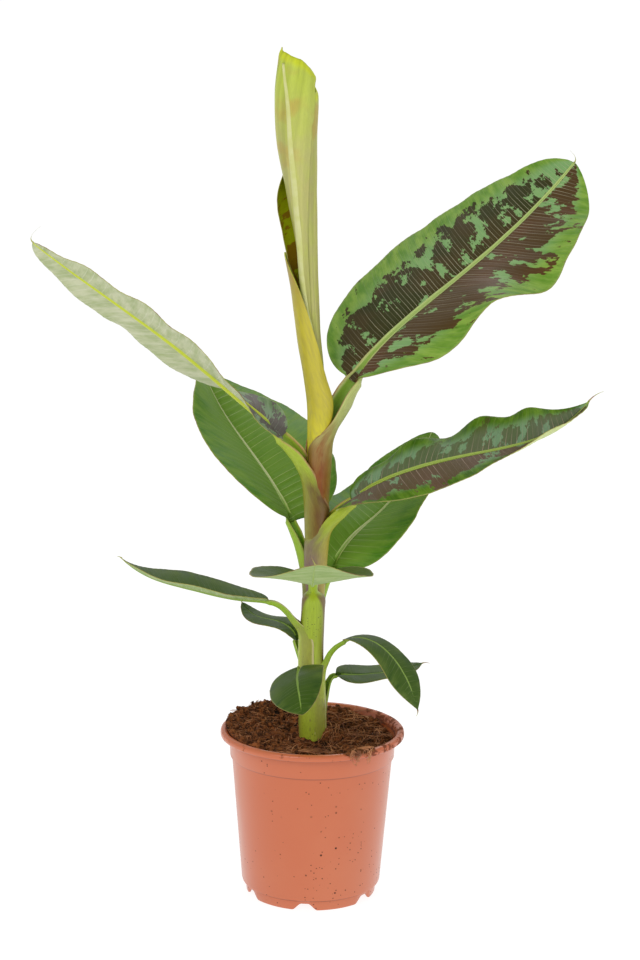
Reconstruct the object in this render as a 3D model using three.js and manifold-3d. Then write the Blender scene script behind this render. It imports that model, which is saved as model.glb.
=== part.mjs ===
// Banana plant in a round nursery pot, in millimetres and degrees, +Z up.
// The origin is the centre of the pot's foot on the ground, +X is right and +Y is away from the viewer.
import * as THREE from 'three';
import { mergeVertices } from 'three/addons/utils/BufferGeometryUtils.js';
import Module from 'manifold-3d';

const wasm = await Module();
wasm.setup();

// Clearance between neighbouring pieces.
const GAP = 0.3;
// Points nearer than this are one point.
const MERGE_DISTANCE = 1e-4;

// Pot: a tapered cup with a rolled lip, a collar band under it and a notched foot skirt.
const POT = {
  height: 193.5,
  wall: 1.8,
  lipRadius: 105,
  lipDepth: 8,
  collarRadius: 94,
  collarDepth: 31,
  shoulderRadius: 91.8,
  bodyFootRadius: 79.6,
  skirtRadius: 74,
  skirtHeight: 12,
  skirtWall: 3.4,
  skirtDraft: 1.6,
  padRadius: 18,
  floorHeight: 9,
  edge: 1,
  sectors: 40,
};
const NOTCH = { count: 6, first: -95, baseWidth: 25, topWidth: 9, height: 8.5, depth: 14 };

// Soil: fills the pot, level round the stem and heaped against the rim at the back left.
const SOIL = {
  level: 176, seatRadius: 26, ringRadii: [74, 50], heap: 12, tilt: 10, highBearing: 160, clearance: 2.4,
  footBevel: 3.4, sectors: 40,
};

// Trunk: half-widths and sideways lean at even steps from the soil to the fork.
const TRUNK = {
  foot: 176,
  top: 552,
  radius: [17, 16.8, 13.9, 12.6, 13.2, 14.2, 14.7, 13.6],
  lean: [0.8, -0.7, -2.3, -0.6, 1.4, 1.8, 2.6, 5.2],
  sectors: 16,
  rows: 14,
};

// Spear: the youngest leaf, still rolled up, cut obliquely at the top.
const SPEAR = {
  top: 962,
  slant: 30,
  radius: [13.6, 12.6, 15.6, 18.8, 21.5, 24, 21],
  lean: [5.2, -6, -14, -19, -21.5, -25.5, -29],
  thickness: 2.6,
  turns: 1.3,
  pitch: 4.4,
  firstBearing: 60,
  rows: 12,
  columns: 22,
};

// Every leaf has a stalk that leaves the stem at its foot, a collar where the blade starts, a rib that
// follows rise and bearing from there, and two halves folded, curled and cut to their own outline.
// Lists of rise, roll, fold and curl run at even steps from the collar to the tip.
// A stalk sinks into the stem's side at its foot, and lift and reach are how far, as shares of its
// length, it keeps to the stem's direction at the foot and to the rib's direction at the collar.
const LEAVES = [
  {
    name: 'upper_right', thickness: 4,
    stalk: { foot: 476, sink: 10, footRadius: 13, neckRadius: 10.5, lift: 0.45, reach: 0.4 },
    collar: [39, 18, 597], length: 393, bearing: 38, turn: -4,
    rise: [42, 30, 34, 44], roll: [10, 10, 30],
    left: { width: 111, fold: [10, 15, -5], curl: [-25], widest: 0.45, point: 0.55 },
    right: { width: 102, fold: [15, 10, 0], curl: [-15], widest: 0.5, point: 0.75, wave: [14, 2.5, -0.7] },
  },
  {
    name: 'upper_left', thickness: 3.6,
    stalk: { foot: 436, sink: 9, footRadius: 12, neckRadius: 8.5, lift: 0.45, reach: 0.4 },
    collar: [-35, -22, 538], length: 359, bearing: 199, turn: -1,
    rise: [41, 40, 36, 38], roll: [-45, 5, 15, 20, 25],
    left: { width: 49, fold: [20, -5, 0, 0, 0], curl: [0], widest: 0.41, point: 0.8 },
    right: { width: 49, fold: [45, -5, -5, -5, -10], curl: [-5], widest: 0.3, point: 0.55 },
  },
  {
    name: 'middle_right', thickness: 3,
    stalk: { foot: 376, sink: 9, footRadius: 12, neckRadius: 7.5, lift: 0.45, reach: 0.4 },
    collar: [39, -8, 464], length: 293, bearing: -4, turn: -2,
    rise: [36, 17, 16, 54], roll: [10, 25, 55],
    left: { width: 49, fold: [20, 10, 40], curl: [-10], widest: 0.52, point: 1.2, wave: [6, 4, 0.1] },
    right: {
      width: 52, fold: [10, -5, 10, 35, 65], curl: [5, -10, 0, 30, 45], widest: 0.41, point: 0.9,
    },
  },
  {
    name: 'back_left', thickness: 2.8,
    stalk: { foot: 330, sink: 7, footRadius: 10, neckRadius: 6.5, lift: 0.45, reach: 0.35 },
    collar: [-26, 25, 432], length: 244, bearing: 119, turn: 8,
    rise: [39, 29, 32, 54], roll: [10, 5, 20],
    left: { width: 83, fold: [25, 30, 40], curl: [-20], widest: 0.5, point: 0.6 },
    right: { width: 97, fold: [15, 25, 25], curl: [-25], widest: 0.5, point: 0.6 },
  },
  {
    name: 'back_right', thickness: 2.6,
    stalk: { foot: 300, sink: 7, footRadius: 10, neckRadius: 6, lift: 0.45, reach: 0.35 },
    collar: [19, 25, 377], length: 229, bearing: 50, turn: 1,
    rise: [48, 20, 40, 47], roll: [30, 0, -5],
    left: { width: 62, fold: [25, 15, 10], curl: [-10], widest: 0.47, point: 0.65 },
    right: { width: 63, fold: [10, 20, 20], curl: [-10], widest: 0.47, point: 0.65 },
  },
  {
    name: 'front', thickness: 2.4,
    stalk: { foot: 268, sink: 5, footRadius: 9, neckRadius: 5, lift: 0.45, reach: 0.4 },
    collar: [-1, -48, 377], length: 218, bearing: 269, turn: 3,
    rise: [-1, 22, 24, 19], roll: [0, 0, 5],
    left: { width: 66, fold: [40, 10, -5], curl: [-5], widest: 0.45, point: 0.75 },
    right: { width: 69, fold: [40, 10, -5], curl: [-10], widest: 0.45, point: 0.75 },
  },
  {
    name: 'lower_left', thickness: 2.2,
    stalk: { foot: 262, sink: 4, footRadius: 7, neckRadius: 4, lift: 0.35, reach: 0.16 },
    collar: [-51, -5, 345], length: 178, bearing: 186, turn: 5,
    rise: [-2, 14, 18, 46], roll: [5, 0, 5],
    left: { width: 26, fold: [25, 25, 15], curl: [-10], widest: 0.45, point: 0.8 },
    right: { width: 39, fold: [20, 20, 10], curl: [-10], widest: 0.45, point: 0.8 },
  },
  {
    name: 'drooping_right', thickness: 2,
    stalk: { foot: 236, sink: 4, footRadius: 6.5, neckRadius: 3.6, lift: 0.45, reach: 0.35 },
    collar: [34, -8, 300], length: 131, bearing: -16, turn: -2,
    rise: [26, -30, -59, -75], roll: [-5, 10, 25],
    left: { width: 25, fold: [5, 0, 15], curl: [-10], widest: 0.53, point: 1.05 },
    right: { width: 28, fold: [15, 0, 5], curl: [-15], widest: 0.53, point: 1.05 },
  },
  {
    name: 'small_left', thickness: 2,
    stalk: { foot: 244, sink: 4, footRadius: 6.5, neckRadius: 3.6, lift: 0.4, reach: 0.35 },
    collar: [-19, 14, 293], length: 89, bearing: 148, turn: -4,
    rise: [71, 10, 5, 54], roll: [0, 0, 5],
    left: { width: 22, fold: [20, 5, 10], curl: [-15], widest: 0.46, point: 0.7 },
    right: { width: 27, fold: [20, 5, 5], curl: [-20], widest: 0.46, point: 0.7 },
  },
  {
    name: 'small_front', thickness: 2,
    stalk: { foot: 226, sink: 4, footRadius: 8, neckRadius: 3.6, lift: 0.45, reach: 0.35 },
    collar: [-15, -38, 277], length: 112, bearing: 263, turn: 19,
    rise: [-3, 1, -19, -41], roll: [10, 20, 15],
    left: { width: 32, fold: [5, 5, 5], curl: [0], widest: 0.42, point: 0.7 },
    right: { width: 36, fold: [0, -5, -5], curl: [-20], widest: 0.42, point: 0.7 },
  },
  {
    name: 'small_right', thickness: 2,
    stalk: { foot: 186, sink: 0, footRadius: 4.4, neckRadius: 3.4, lift: 0.65, reach: 0.2 },
    collar: [27, 12, 254], length: 109, bearing: 23, turn: 1,
    rise: [-11, -3, 4, 14], roll: [15, 5, 10],
    left: { width: 25, fold: [15, 10, 10], curl: [-15], widest: 0.38, point: 0.85 },
    right: { width: 24, fold: [5, 15, 5], curl: [-20], widest: 0.38, point: 0.85 },
  },
];
// A blade's first column stands at the edge of the rib, this share of the half-width out or more than half
// the thickness, and the others share the rest. Its rows crowd towards both ends, and the first stands a
// little behind the collar, where the base is cut. Folds ease off in the last few rows.
const BLADE = {
  rows: 14, crowding: 0.09, columns: 4, firstColumn: 0.1, ribClear: 0.6, basePower: 2.5, tipPower: 2.2,
  tipEase: 16, ribShare: 1.1, overlap: 1.5,
};
// A stalk's section is an arc this far to each side of its keel, and its end sits under the rib.
const STALK = { rows: 9, columns: 6, halfAngle: 105, wallShare: 0.6, drop: 0.5 };

// Finishes.
const FINISH = {
  terracotta: { color: 0xcd7a5b, roughness: 0.45, metalness: 0 },
  soil: { color: 0x3b261b, roughness: 0.95, metalness: 0 },
  stem: { color: 0x8a8a45, roughness: 0.5, metalness: 0 },
  spear: { color: 0xc3cb7c, roughness: 0.5, metalness: 0 },
  stalk: { color: 0x8fa648, roughness: 0.5, metalness: 0 },
  blade: { color: 0x3f6b38, roughness: 0.45, metalness: 0 },
};

const rad = THREE.MathUtils.degToRad;

// Smooth value at share u of a list of evenly spaced stations.
function along(stations, u) {
  const last = stations.length - 1;
  if (last === 0) return stations[0];
  const place = THREE.MathUtils.clamp(u, 0, 1) * last;
  const i = Math.min(Math.floor(place), last - 1);
  const f = place - i;
  const [b, c] = [stations[i], stations[i + 1]];
  const a = i > 0 ? stations[i - 1] : 2 * b - c;
  const d = i + 2 <= last ? stations[i + 2] : 2 * c - b;
  return 0.5 * (2 * b + (c - a) * f + (2 * a - 5 * b + 4 * c - d) * f * f
    + (3 * b - a - 3 * c + d) * f * f * f);
}

// Unit vector that rises from the level by one angle and points along a compass bearing from +X.
function heading(riseDegrees, bearingDegrees) {
  const [rise, bearing] = [rad(riseDegrees), rad(bearingDegrees)];
  return new THREE.Vector3(
    Math.cos(rise) * Math.cos(bearing), Math.cos(rise) * Math.sin(bearing), Math.sin(rise),
  );
}

function geometryFrom(points, triangles) {
  const geometry = new THREE.BufferGeometry();
  geometry.setAttribute('position', new THREE.Float32BufferAttribute(points.flatMap((p) => p.toArray()), 3));
  geometry.setIndex(triangles.flat());
  return geometry;
}

// Six times the signed volume: negative where the faces point inwards.
function signedVolume(points, triangles) {
  const cross = new THREE.Vector3();
  return triangles.reduce(
    (sum, [a, b, c]) => sum + cross.crossVectors(points[b], points[c]).dot(points[a]), 0,
  );
}

function outward(points, triangles) {
  const turned = signedVolume(points, triangles) < 0;
  return geometryFrom(points, turned ? triangles.map(([a, b, c]) => [a, c, b]) : triangles);
}

// Closed slab between two grids of points of the same size.
function slab(front, back) {
  const [rows, columns] = [front.length, front[0].length];
  const points = [...front.flat(), ...back.flat()];
  const at = (side, i, j) => side * rows * columns + i * columns + j;
  const triangles = [];
  const quad = (a, b, c, d) => triangles.push([a, b, c], [a, c, d]);
  for (let i = 0; i < rows - 1; i++) {
    for (let j = 0; j < columns - 1; j++) {
      quad(at(0, i, j), at(0, i + 1, j), at(0, i + 1, j + 1), at(0, i, j + 1));
      quad(at(1, i, j), at(1, i, j + 1), at(1, i + 1, j + 1), at(1, i + 1, j));
    }
    quad(at(0, i, 0), at(1, i, 0), at(1, i + 1, 0), at(0, i + 1, 0));
    quad(at(0, i + 1, columns - 1), at(1, i + 1, columns - 1), at(1, i, columns - 1), at(0, i, columns - 1));
  }
  for (let j = 0; j < columns - 1; j++) {
    quad(at(0, 0, j + 1), at(1, 0, j + 1), at(1, 0, j), at(0, 0, j));
    quad(at(0, rows - 1, j), at(1, rows - 1, j), at(1, rows - 1, j + 1), at(0, rows - 1, j + 1));
  }
  return outward(points, triangles);
}

// Closed body through a stack of convex rings, each end closed to its middle.
function ringLoft(rings) {
  const sectors = rings[0].length;
  const points = rings.flat();
  const middle = (ring) => ring.reduce((sum, p) => sum.add(p), new THREE.Vector3()).divideScalar(sectors);
  const [low, high] = [points.length, points.length + 1];
  points.push(middle(rings[0]), middle(rings.at(-1)));
  const triangles = [];
  for (let k = 0; k < sectors; k++) {
    const next = (k + 1) % sectors;
    const top = (rings.length - 1) * sectors;
    triangles.push([low, next, k], [high, top + k, top + next]);
    for (let i = 0; i < rings.length - 1; i++) {
      const [a, b] = [i * sectors + k, i * sectors + next];
      triangles.push([a, b, b + sectors], [a, b + sectors, a + sectors]);
    }
  }
  return outward(points, triangles);
}

function toSolid(geometry) {
  const bare = geometry.clone();
  bare.deleteAttribute('normal');
  bare.deleteAttribute('uv');
  const merged = mergeVertices(bare, MERGE_DISTANCE);
  return new wasm.Manifold(new wasm.Mesh({
    numProp: 3,
    vertProperties: Float32Array.from(merged.attributes.position.array),
    triVerts: Uint32Array.from(merged.index.array),
  }));
}

function fromSolid(solid) {
  const mesh = solid.getMesh();
  const geometry = new THREE.BufferGeometry();
  geometry.setAttribute('position', new THREE.Float32BufferAttribute(mesh.vertProperties, 3));
  geometry.setIndex(Array.from(mesh.triVerts));
  return geometry;
}

// The largest loose part of a solid that a cut may have split.
function largest(solid) {
  const bodies = solid.decompose();
  return bodies.reduce((best, body) => (body.volume() > best.volume() ? body : best));
}

// Pot wall radius, outside, at a height between the skirt and the collar.
function wallRadius(z) {
  const shoulder = POT.height - POT.collarDepth;
  return THREE.MathUtils.mapLinear(z, POT.skirtHeight, shoulder, POT.bodyFootRadius, POT.shoulderRadius);
}

function potGeometry() {
  const { height, wall, lipRadius, lipDepth, collarRadius, shoulderRadius, bodyFootRadius } = POT;
  const { skirtRadius, skirtHeight, skirtWall, skirtDraft, padRadius, floorHeight, edge } = POT;
  const shoulder = height - POT.collarDepth;
  const underLip = height - lipDepth;
  const skirtInner = skirtRadius - skirtWall;
  // A pad in the middle and the skirt stand on the ground, with the floor's underside between them.
  const foot = [
    [0, 0], [padRadius, 0], [padRadius + edge, floorHeight], [skirtInner - edge, floorHeight],
    [skirtInner, 0], [skirtRadius, 0], [skirtRadius + skirtDraft, skirtHeight - edge],
    [skirtRadius + skirtDraft, skirtHeight],
  ];
  const outside = [
    [bodyFootRadius, skirtHeight + edge], [shoulderRadius, shoulder - 3 * edge],
    [shoulderRadius + edge, shoulder], [collarRadius, underLip - edge],
  ];
  // The lip is rolled outwards over the collar, with soft edges.
  const lip = [
    [lipRadius - 8 * edge, underLip], [lipRadius - 4 * edge, underLip],
    [lipRadius - edge, underLip + 2 * edge],
    [lipRadius, height - 3.5 * edge], [lipRadius - edge, height - edge], [lipRadius - 3 * edge, height],
    [lipRadius - 6 * edge, height], [lipRadius - 8 * edge, height - 2 * edge],
  ];
  const inside = [
    [collarRadius - wall, underLip - 4 * edge],
    [shoulderRadius + edge - wall, shoulder + edge], [wallRadius(shoulder) - wall, shoulder - 3 * edge],
    [bodyFootRadius - wall, skirtHeight + 2 * edge], [bodyFootRadius - wall - 3 * edge, skirtHeight],
    [0, skirtHeight],
  ];
  const profile = [...foot, ...outside, ...lip, ...inside].map(([r, z]) => new THREE.Vector2(r, z));
  const cup = toSolid(new THREE.LatheGeometry(profile, POT.sectors).rotateX(Math.PI / 2));
  let pot = cup;
  for (let k = 0; k < NOTCH.count; k++) {
    pot = pot.subtract(toSolid(notchCutter(NOTCH.first + k * 360 / NOTCH.count)));
  }
  return fromSolid(pot);
}

// Wedge that opens one drain notch in the foot skirt.
function notchCutter(bearing) {
  const shape = new THREE.Shape([
    new THREE.Vector2(-NOTCH.baseWidth / 2, -1), new THREE.Vector2(NOTCH.baseWidth / 2, -1),
    new THREE.Vector2(NOTCH.topWidth / 2, NOTCH.height), new THREE.Vector2(-NOTCH.topWidth / 2, NOTCH.height),
  ]);
  const cutter = new THREE.ExtrudeGeometry(shape, { depth: NOTCH.depth, bevelEnabled: false });
  cutter.rotateX(Math.PI / 2).rotateZ(Math.PI / 2);
  cutter.translate(POT.skirtRadius - NOTCH.depth / 2, 0, 0);
  return cutter.rotateZ(rad(bearing));
}

// Height of the soil's top at a radius and bearing.
function soilHeight(radius, bearing) {
  const share = THREE.MathUtils.smoothstep(radius, SOIL.seatRadius, POT.collarRadius);
  return SOIL.level + share * (SOIL.heap + SOIL.tilt * Math.cos(rad(bearing - SOIL.highBearing)));
}

function soilGeometry() {
  const { sectors, seatRadius, ringRadii, clearance, footBevel } = SOIL;
  const shoulder = POT.height - POT.collarDepth;
  const ring = (radius, height) => Array.from({ length: sectors }, (_, k) => {
    const bearing = k * 360 / sectors;
    const [x, y] = [radius * Math.cos(rad(bearing)), radius * Math.sin(rad(bearing))];
    return new THREE.Vector3(x, y, height ?? soilHeight(radius, bearing));
  });
  const foot = POT.skirtHeight + GAP;
  return ringLoft([
    ring(POT.bodyFootRadius - clearance - footBevel, foot),
    ring(POT.bodyFootRadius - clearance, foot + footBevel),
    ring(wallRadius(shoulder) - clearance, shoulder - 4),
    ring(POT.collarRadius - clearance - 1, shoulder + 4),
    ring(POT.collarRadius - clearance), ...ringRadii.map((radius) => ring(radius)), ring(seatRadius),
  ]);
}

// Centre of the stem at a height, over the trunk and then the spear.
function stemCentre(z) {
  const spec = z <= TRUNK.top ? TRUNK : SPEAR;
  const foot = spec === TRUNK ? TRUNK.foot : TRUNK.top;
  return new THREE.Vector3(along(spec.lean, (z - foot) / (spec.top - foot)), 0, z);
}

// Rings of the trunk or spear, grown outwards by a margin.
function stemRings(spec, foot, top, margin) {
  const grow = margin / Math.cos(Math.PI / TRUNK.sectors);
  return Array.from({ length: TRUNK.rows + 1 }, (_, i) => {
    const u = i / TRUNK.rows;
    const z = THREE.MathUtils.lerp(foot, top, u);
    const centre = new THREE.Vector3(along(spec.lean, u), 0, z);
    return Array.from({ length: TRUNK.sectors }, (__, k) => {
      const turn = 360 * k / TRUNK.sectors;
      return heading(0, turn).multiplyScalar(along(spec.radius, u) + grow).add(centre);
    });
  });
}

// Room that the stem takes, which the stalks are cut back from.
function stemRoom() {
  const trunk = toSolid(ringLoft(stemRings(TRUNK, TRUNK.foot - GAP, TRUNK.top, GAP)));
  return trunk.add(toSolid(ringLoft(stemRings(SPEAR, TRUNK.top, SPEAR.top, 2 * GAP))));
}

// Rolled leaf: a strip whose section is a spiral of a little over one turn.
function spearGeometry() {
  const foot = TRUNK.top + GAP;
  const [front, back] = [[], []];
  for (let i = 0; i <= SPEAR.rows; i++) {
    const [outerRow, innerRow] = [[], []];
    for (let j = 0; j <= SPEAR.columns; j++) {
      const share = j / SPEAR.columns;
      const bearing = SPEAR.firstBearing + 360 * SPEAR.turns * share;
      const rim = SPEAR.top - SPEAR.slant * (1 + Math.cos(rad(bearing))) / 2;
      const z = THREE.MathUtils.lerp(foot, rim, i / SPEAR.rows);
      const u = (z - foot) / (SPEAR.top - foot);
      const centre = new THREE.Vector3(along(SPEAR.lean, u), 0, z);
      const radius = along(SPEAR.radius, u) - SPEAR.pitch * SPEAR.turns * (1 - share);
      const out = heading(0, bearing);
      outerRow.push(centre.clone().addScaledVector(out, radius));
      innerRow.push(centre.clone().addScaledVector(out, radius - SPEAR.thickness));
    }
    front.push(innerRow);
    back.push(outerRow);
  }
  return slab(front, back);
}

// Share of the full half-width at share u of the blade's length.
function outline(half, u) {
  const { basePower, tipPower } = BLADE;
  if (u < half.widest) return Math.sqrt(1 - ((half.widest - u) / half.widest) ** basePower);
  return (1 - ((u - half.widest) / (1 - half.widest)) ** tipPower) ** half.point;
}

// Local directions of a leaf at share u: forward along the rib, up from its face, and right.
function leafAxes(leaf, u) {
  const bearing = leaf.bearing + leaf.turn * u;
  const forward = heading(along(leaf.rise, u), bearing);
  const level = heading(along(leaf.rise, u) + 90, bearing);
  const roll = rad(along(leaf.roll, u));
  const side = new THREE.Vector3().crossVectors(forward, level);
  const up = level.multiplyScalar(Math.cos(roll)).addScaledVector(side, Math.sin(roll));
  return { forward, up, right: new THREE.Vector3().crossVectors(forward, up) };
}

// Middle surface of a blade: rows across it from the collar to the tip.
function bladeSurface(leaf) {
  const rib = new THREE.Vector3(...leaf.collar).addScaledVector(leafAxes(leaf, 0).forward, -BLADE.overlap);
  const rows = [];
  let before = { u: 0, forward: leafAxes(leaf, 0).forward };
  for (let i = 0; i <= BLADE.rows; i++) {
    const t = i / BLADE.rows;
    const u = t - BLADE.crowding * Math.sin(2 * Math.PI * t);
    const axes = leafAxes(leaf, u);
    const mean = before.forward.clone().add(axes.forward).multiplyScalar(0.5);
    rib.addScaledVector(mean, leaf.length * (u - before.u));
    before = { u, forward: axes.forward };
    rows.push([...halfRow(leaf, leaf.left, -1, u, axes, rib).reverse(), rib.clone(),
      ...halfRow(leaf, leaf.right, 1, u, axes, rib)]);
  }
  return rows;
}

// Points from the rib out to one margin.
function halfRow(leaf, half, side, u, axes, rib) {
  const least = THREE.MathUtils.lerp(leaf.stalk.neckRadius, leaf.thickness, u);
  const width = Math.max(half.width * outline(half, u), least);
  const first = Math.max(BLADE.firstColumn, BLADE.ribClear * leaf.thickness / width);
  const ease = 1 - THREE.MathUtils.clamp(u, 0, 1) ** BLADE.tipEase;
  const points = [];
  const [height, count, phase] = half.wave ?? [0, 0, 0];
  const ripple = height * outline(half, u) * Math.sin(2 * Math.PI * (count * u + phase));
  let [across, lift, inner] = [0, 0, 0];
  for (let j = 0; j < BLADE.columns; j++) {
    const v = THREE.MathUtils.lerp(first, 1, j / (BLADE.columns - 1));
    const angle = rad(ease * (along(half.fold, u) + along(half.curl, u) * (v + inner) / 2));
    across += Math.cos(angle) * width * (v - inner);
    lift += Math.sin(angle) * width * (v - inner);
    inner = v;
    const out = axes.right.clone().multiplyScalar(side * across);
    points.push(out.addScaledVector(axes.up, lift + ripple * v * v).add(rib));
  }
  return points;
}

// Blade: its middle surface thickened both ways, with the rib standing out below.
function bladeGeometry(leaf) {
  const grid = bladeSurface(leaf);
  const [lastRow, lastColumn] = [grid.length - 1, grid[0].length - 1];
  const [front, back] = [[], []];
  grid.forEach((row, i) => {
    const ribDepth = leaf.stalk.neckRadius * BLADE.ribShare * (1 - i / grid.length);
    const [frontRow, backRow] = [[], []];
    row.forEach((point, j) => {
      const lengthways = grid[Math.min(i + 1, lastRow)][j].clone().sub(grid[Math.max(i - 1, 0)][j]);
      const crossways = row[Math.min(j + 1, lastColumn)].clone().sub(row[Math.max(j - 1, 0)]);
      const up = crossways.cross(lengthways).normalize();
      const below = leaf.thickness / 2 + (j === BLADE.columns ? ribDepth : 0);
      frontRow.push(point.clone().addScaledVector(up, leaf.thickness / 2));
      backRow.push(point.clone().addScaledVector(up, -below));
    });
    front.push(frontRow);
    back.push(backRow);
  });
  return squareBase(leaf, slab(front, back));
}

// The blade's base is cut square to the rib, clear of the stalk's end.
function squareBase(leaf, geometry) {
  const { forward } = leafAxes(leaf, 0);
  const plane = new THREE.Vector3(...leaf.collar).dot(forward) + GAP;
  return fromSolid(largest(toSolid(geometry).trimByPlane(forward.toArray(), plane)));
}

// Path of a leaf stalk from the stem up to the collar, just under the start of the rib.
function stalkPath(leaf) {
  const { foot: footHeight, sink, neckRadius, lift, reach } = leaf.stalk;
  const { forward, up } = leafAxes(leaf, 0);
  const collar = new THREE.Vector3(...leaf.collar).addScaledVector(up, -neckRadius * STALK.drop);
  const centre = stemCentre(footHeight);
  const out = collar.clone().sub(centre).setZ(0).normalize();
  const stemRadius = along(TRUNK.radius, (footHeight - TRUNK.foot) / (TRUNK.top - TRUNK.foot));
  const foot = centre.addScaledVector(out, stemRadius - sink);
  const length = foot.distanceTo(collar);
  return {
    out,
    curve: new THREE.CubicBezierCurve3(
      foot, foot.clone().add(new THREE.Vector3(0, 0, length * lift)),
      collar.clone().addScaledVector(forward, -length * reach), collar,
    ),
  };
}

// Section frames along a stalk: position, face direction towards the stem, and radius.
function stalkFrames(leaf) {
  const { out, curve } = stalkPath(leaf);
  const neckUp = leafAxes(leaf, 0).up;
  return Array.from({ length: STALK.rows + 1 }, (_, i) => {
    const s = i / STALK.rows;
    const forward = curve.getTangent(s);
    const up = out.clone().negate().lerp(neckUp, s);
    up.addScaledVector(forward, -up.dot(forward)).normalize();
    const right = new THREE.Vector3().crossVectors(forward, up);
    const radius = THREE.MathUtils.lerp(leaf.stalk.footRadius, leaf.stalk.neckRadius, Math.sqrt(s));
    return { place: curve.getPoint(s), up, right, radius };
  });
}

function sectionPoint(frame, radius, degrees) {
  return frame.place.clone()
    .addScaledVector(frame.up, -radius * Math.cos(rad(degrees)))
    .addScaledVector(frame.right, radius * Math.sin(rad(degrees)));
}

// Stalk: a channel open towards the stem, cut back from the stem and from its older neighbours.
function stalkSolid(leaf, rooms) {
  const frames = stalkFrames(leaf);
  const arc = (share) => frames.map((frame) => Array.from({ length: STALK.columns + 1 }, (_, j) => {
    const degrees = STALK.halfAngle * (2 * j / STALK.columns - 1);
    return sectionPoint(frame, frame.radius * share, degrees);
  }));
  const channel = toSolid(slab(arc(1 - STALK.wallShare), arc(1)));
  return largest(rooms.reduce((solid, room) => solid.subtract(room), channel));
}

// Room that a stalk takes, for its neighbours to keep out of, a little longer at both ends.
function stalkRoom(leaf) {
  const rings = stalkFrames(leaf).map((frame, i) => Array.from({ length: TRUNK.sectors }, (_, k) => {
    const ahead = { 0: -2 * GAP, [STALK.rows]: 2 * GAP }[i] ?? 0;
    const forward = new THREE.Vector3().crossVectors(frame.up, frame.right);
    return sectionPoint(frame, frame.radius + 2 * GAP, 360 * k / TRUNK.sectors)
      .addScaledVector(forward, ahead);
  }));
  return toSolid(ringLoft(rings));
}

function named(name, geometry, finish) {
  const mesh = new THREE.Mesh(geometry, new THREE.MeshStandardMaterial(finish));
  mesh.name = name;
  return mesh;
}

const plant = new THREE.Group();
plant.add(named('pot', potGeometry(), FINISH.terracotta));
plant.add(named('soil', soilGeometry(), FINISH.soil));
plant.add(named('trunk', ringLoft(stemRings(TRUNK, TRUNK.foot + GAP, TRUNK.top, 0)), FINISH.stem));
plant.add(named('spear', spearGeometry(), FINISH.spear));

const rooms = [stemRoom()];
for (const leaf of LEAVES) {
  plant.add(named(`stalk_${leaf.name}`, fromSolid(stalkSolid(leaf, rooms)), FINISH.stalk));
  plant.add(named(`blade_${leaf.name}`, bladeGeometry(leaf), FINISH.blade));
  rooms.push(stalkRoom(leaf));
}

export default plant;
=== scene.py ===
"""Finish and fine shapes of a potted banana plant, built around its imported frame.

Sizes are in millimetres and angles in degrees, and a mesh's points become metres where they are made.
+Z is up, +X is right and +Y is away from the viewer, with the origin under the middle of the pot.
"""

import logging
import math
from dataclasses import dataclass
from enum import Enum
from typing import Callable, Dict, List, Optional, Sequence, Tuple, Union

import bmesh
import bpy
from mathutils import Matrix, Vector, noise

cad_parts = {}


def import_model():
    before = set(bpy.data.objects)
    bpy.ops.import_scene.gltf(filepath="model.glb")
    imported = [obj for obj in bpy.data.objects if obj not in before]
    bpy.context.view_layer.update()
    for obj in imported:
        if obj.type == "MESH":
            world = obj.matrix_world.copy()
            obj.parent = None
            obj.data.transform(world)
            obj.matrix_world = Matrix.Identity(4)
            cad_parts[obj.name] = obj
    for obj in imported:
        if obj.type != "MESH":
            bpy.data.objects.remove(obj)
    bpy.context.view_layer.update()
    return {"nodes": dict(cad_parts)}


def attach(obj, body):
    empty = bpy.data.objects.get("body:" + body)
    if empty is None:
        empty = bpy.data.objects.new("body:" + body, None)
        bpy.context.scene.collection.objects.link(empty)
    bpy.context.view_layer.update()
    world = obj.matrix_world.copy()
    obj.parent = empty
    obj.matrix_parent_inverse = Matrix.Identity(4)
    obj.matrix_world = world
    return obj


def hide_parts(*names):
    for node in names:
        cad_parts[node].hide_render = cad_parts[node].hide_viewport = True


LOG = logging.getLogger("banana_plant")
MM = 0.001
Colour = Tuple[float, float, float, float]
Place = Callable[[int, int], Vector]
Input = Union[float, str, Sequence[float], "Value"]
Inputs = Dict[Union[int, str], Input]
Row = Tuple[float, Vector, Vector, Vector, Vector]
Section = Tuple[float, Vector, Vector, Vector, float, float, float, float]
MERGE = 1e-6
WHITE = "#ffffff"
UP = Vector((0, 0, 1))


def colour(code: str) -> Colour:
    """Linear colour of an sRGB code.

    Args:
        code: six hexadecimal digits after a hash.

    Returns:
        Red, green, blue and full opacity.
    """
    channels = [int(code[i:i + 2], 16) / 255 for i in (1, 3, 5)]
    linear = [c / 12.92 if c <= 0.04045 else ((c + 0.055) / 1.055) ** 2.4 for c in channels]
    return (linear[0], linear[1], linear[2], 1.0)


def mix(low: float, high: float, share: float) -> float:
    """Value between low and high at a share from 0 to 1."""
    return low + (high - low) * share


def ease(low: float, high: float, value: float) -> float:
    """Smooth step from 0 at low to 1 at high."""
    share = min(max((value - low) / (high - low), 0.0), 1.0)
    return share * share * (3 - 2 * share)


def along(stations: Sequence[float], share: float) -> float:
    """Smooth value at a share of a list of evenly spaced stations.

    Args:
        stations: values at even steps from share 0 to share 1.
        share: where along the list, from 0 to 1.

    Returns:
        The value on a smooth curve through the stations.
    """
    last = len(stations) - 1
    if last == 0:
        return stations[0]
    place = min(max(share, 0.0), 1.0) * last
    i = min(int(place), last - 1)
    f = place - i
    b, c = stations[i], stations[i + 1]
    a = stations[i - 1] if i > 0 else 2 * b - c
    d = stations[i + 2] if i + 2 <= last else 2 * c - b
    cubic = (3 * b - a - 3 * c + d) * f ** 3
    return 0.5 * (2 * b + (c - a) * f + (2 * a - 5 * b + 4 * c - d) * f * f + cubic)


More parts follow.
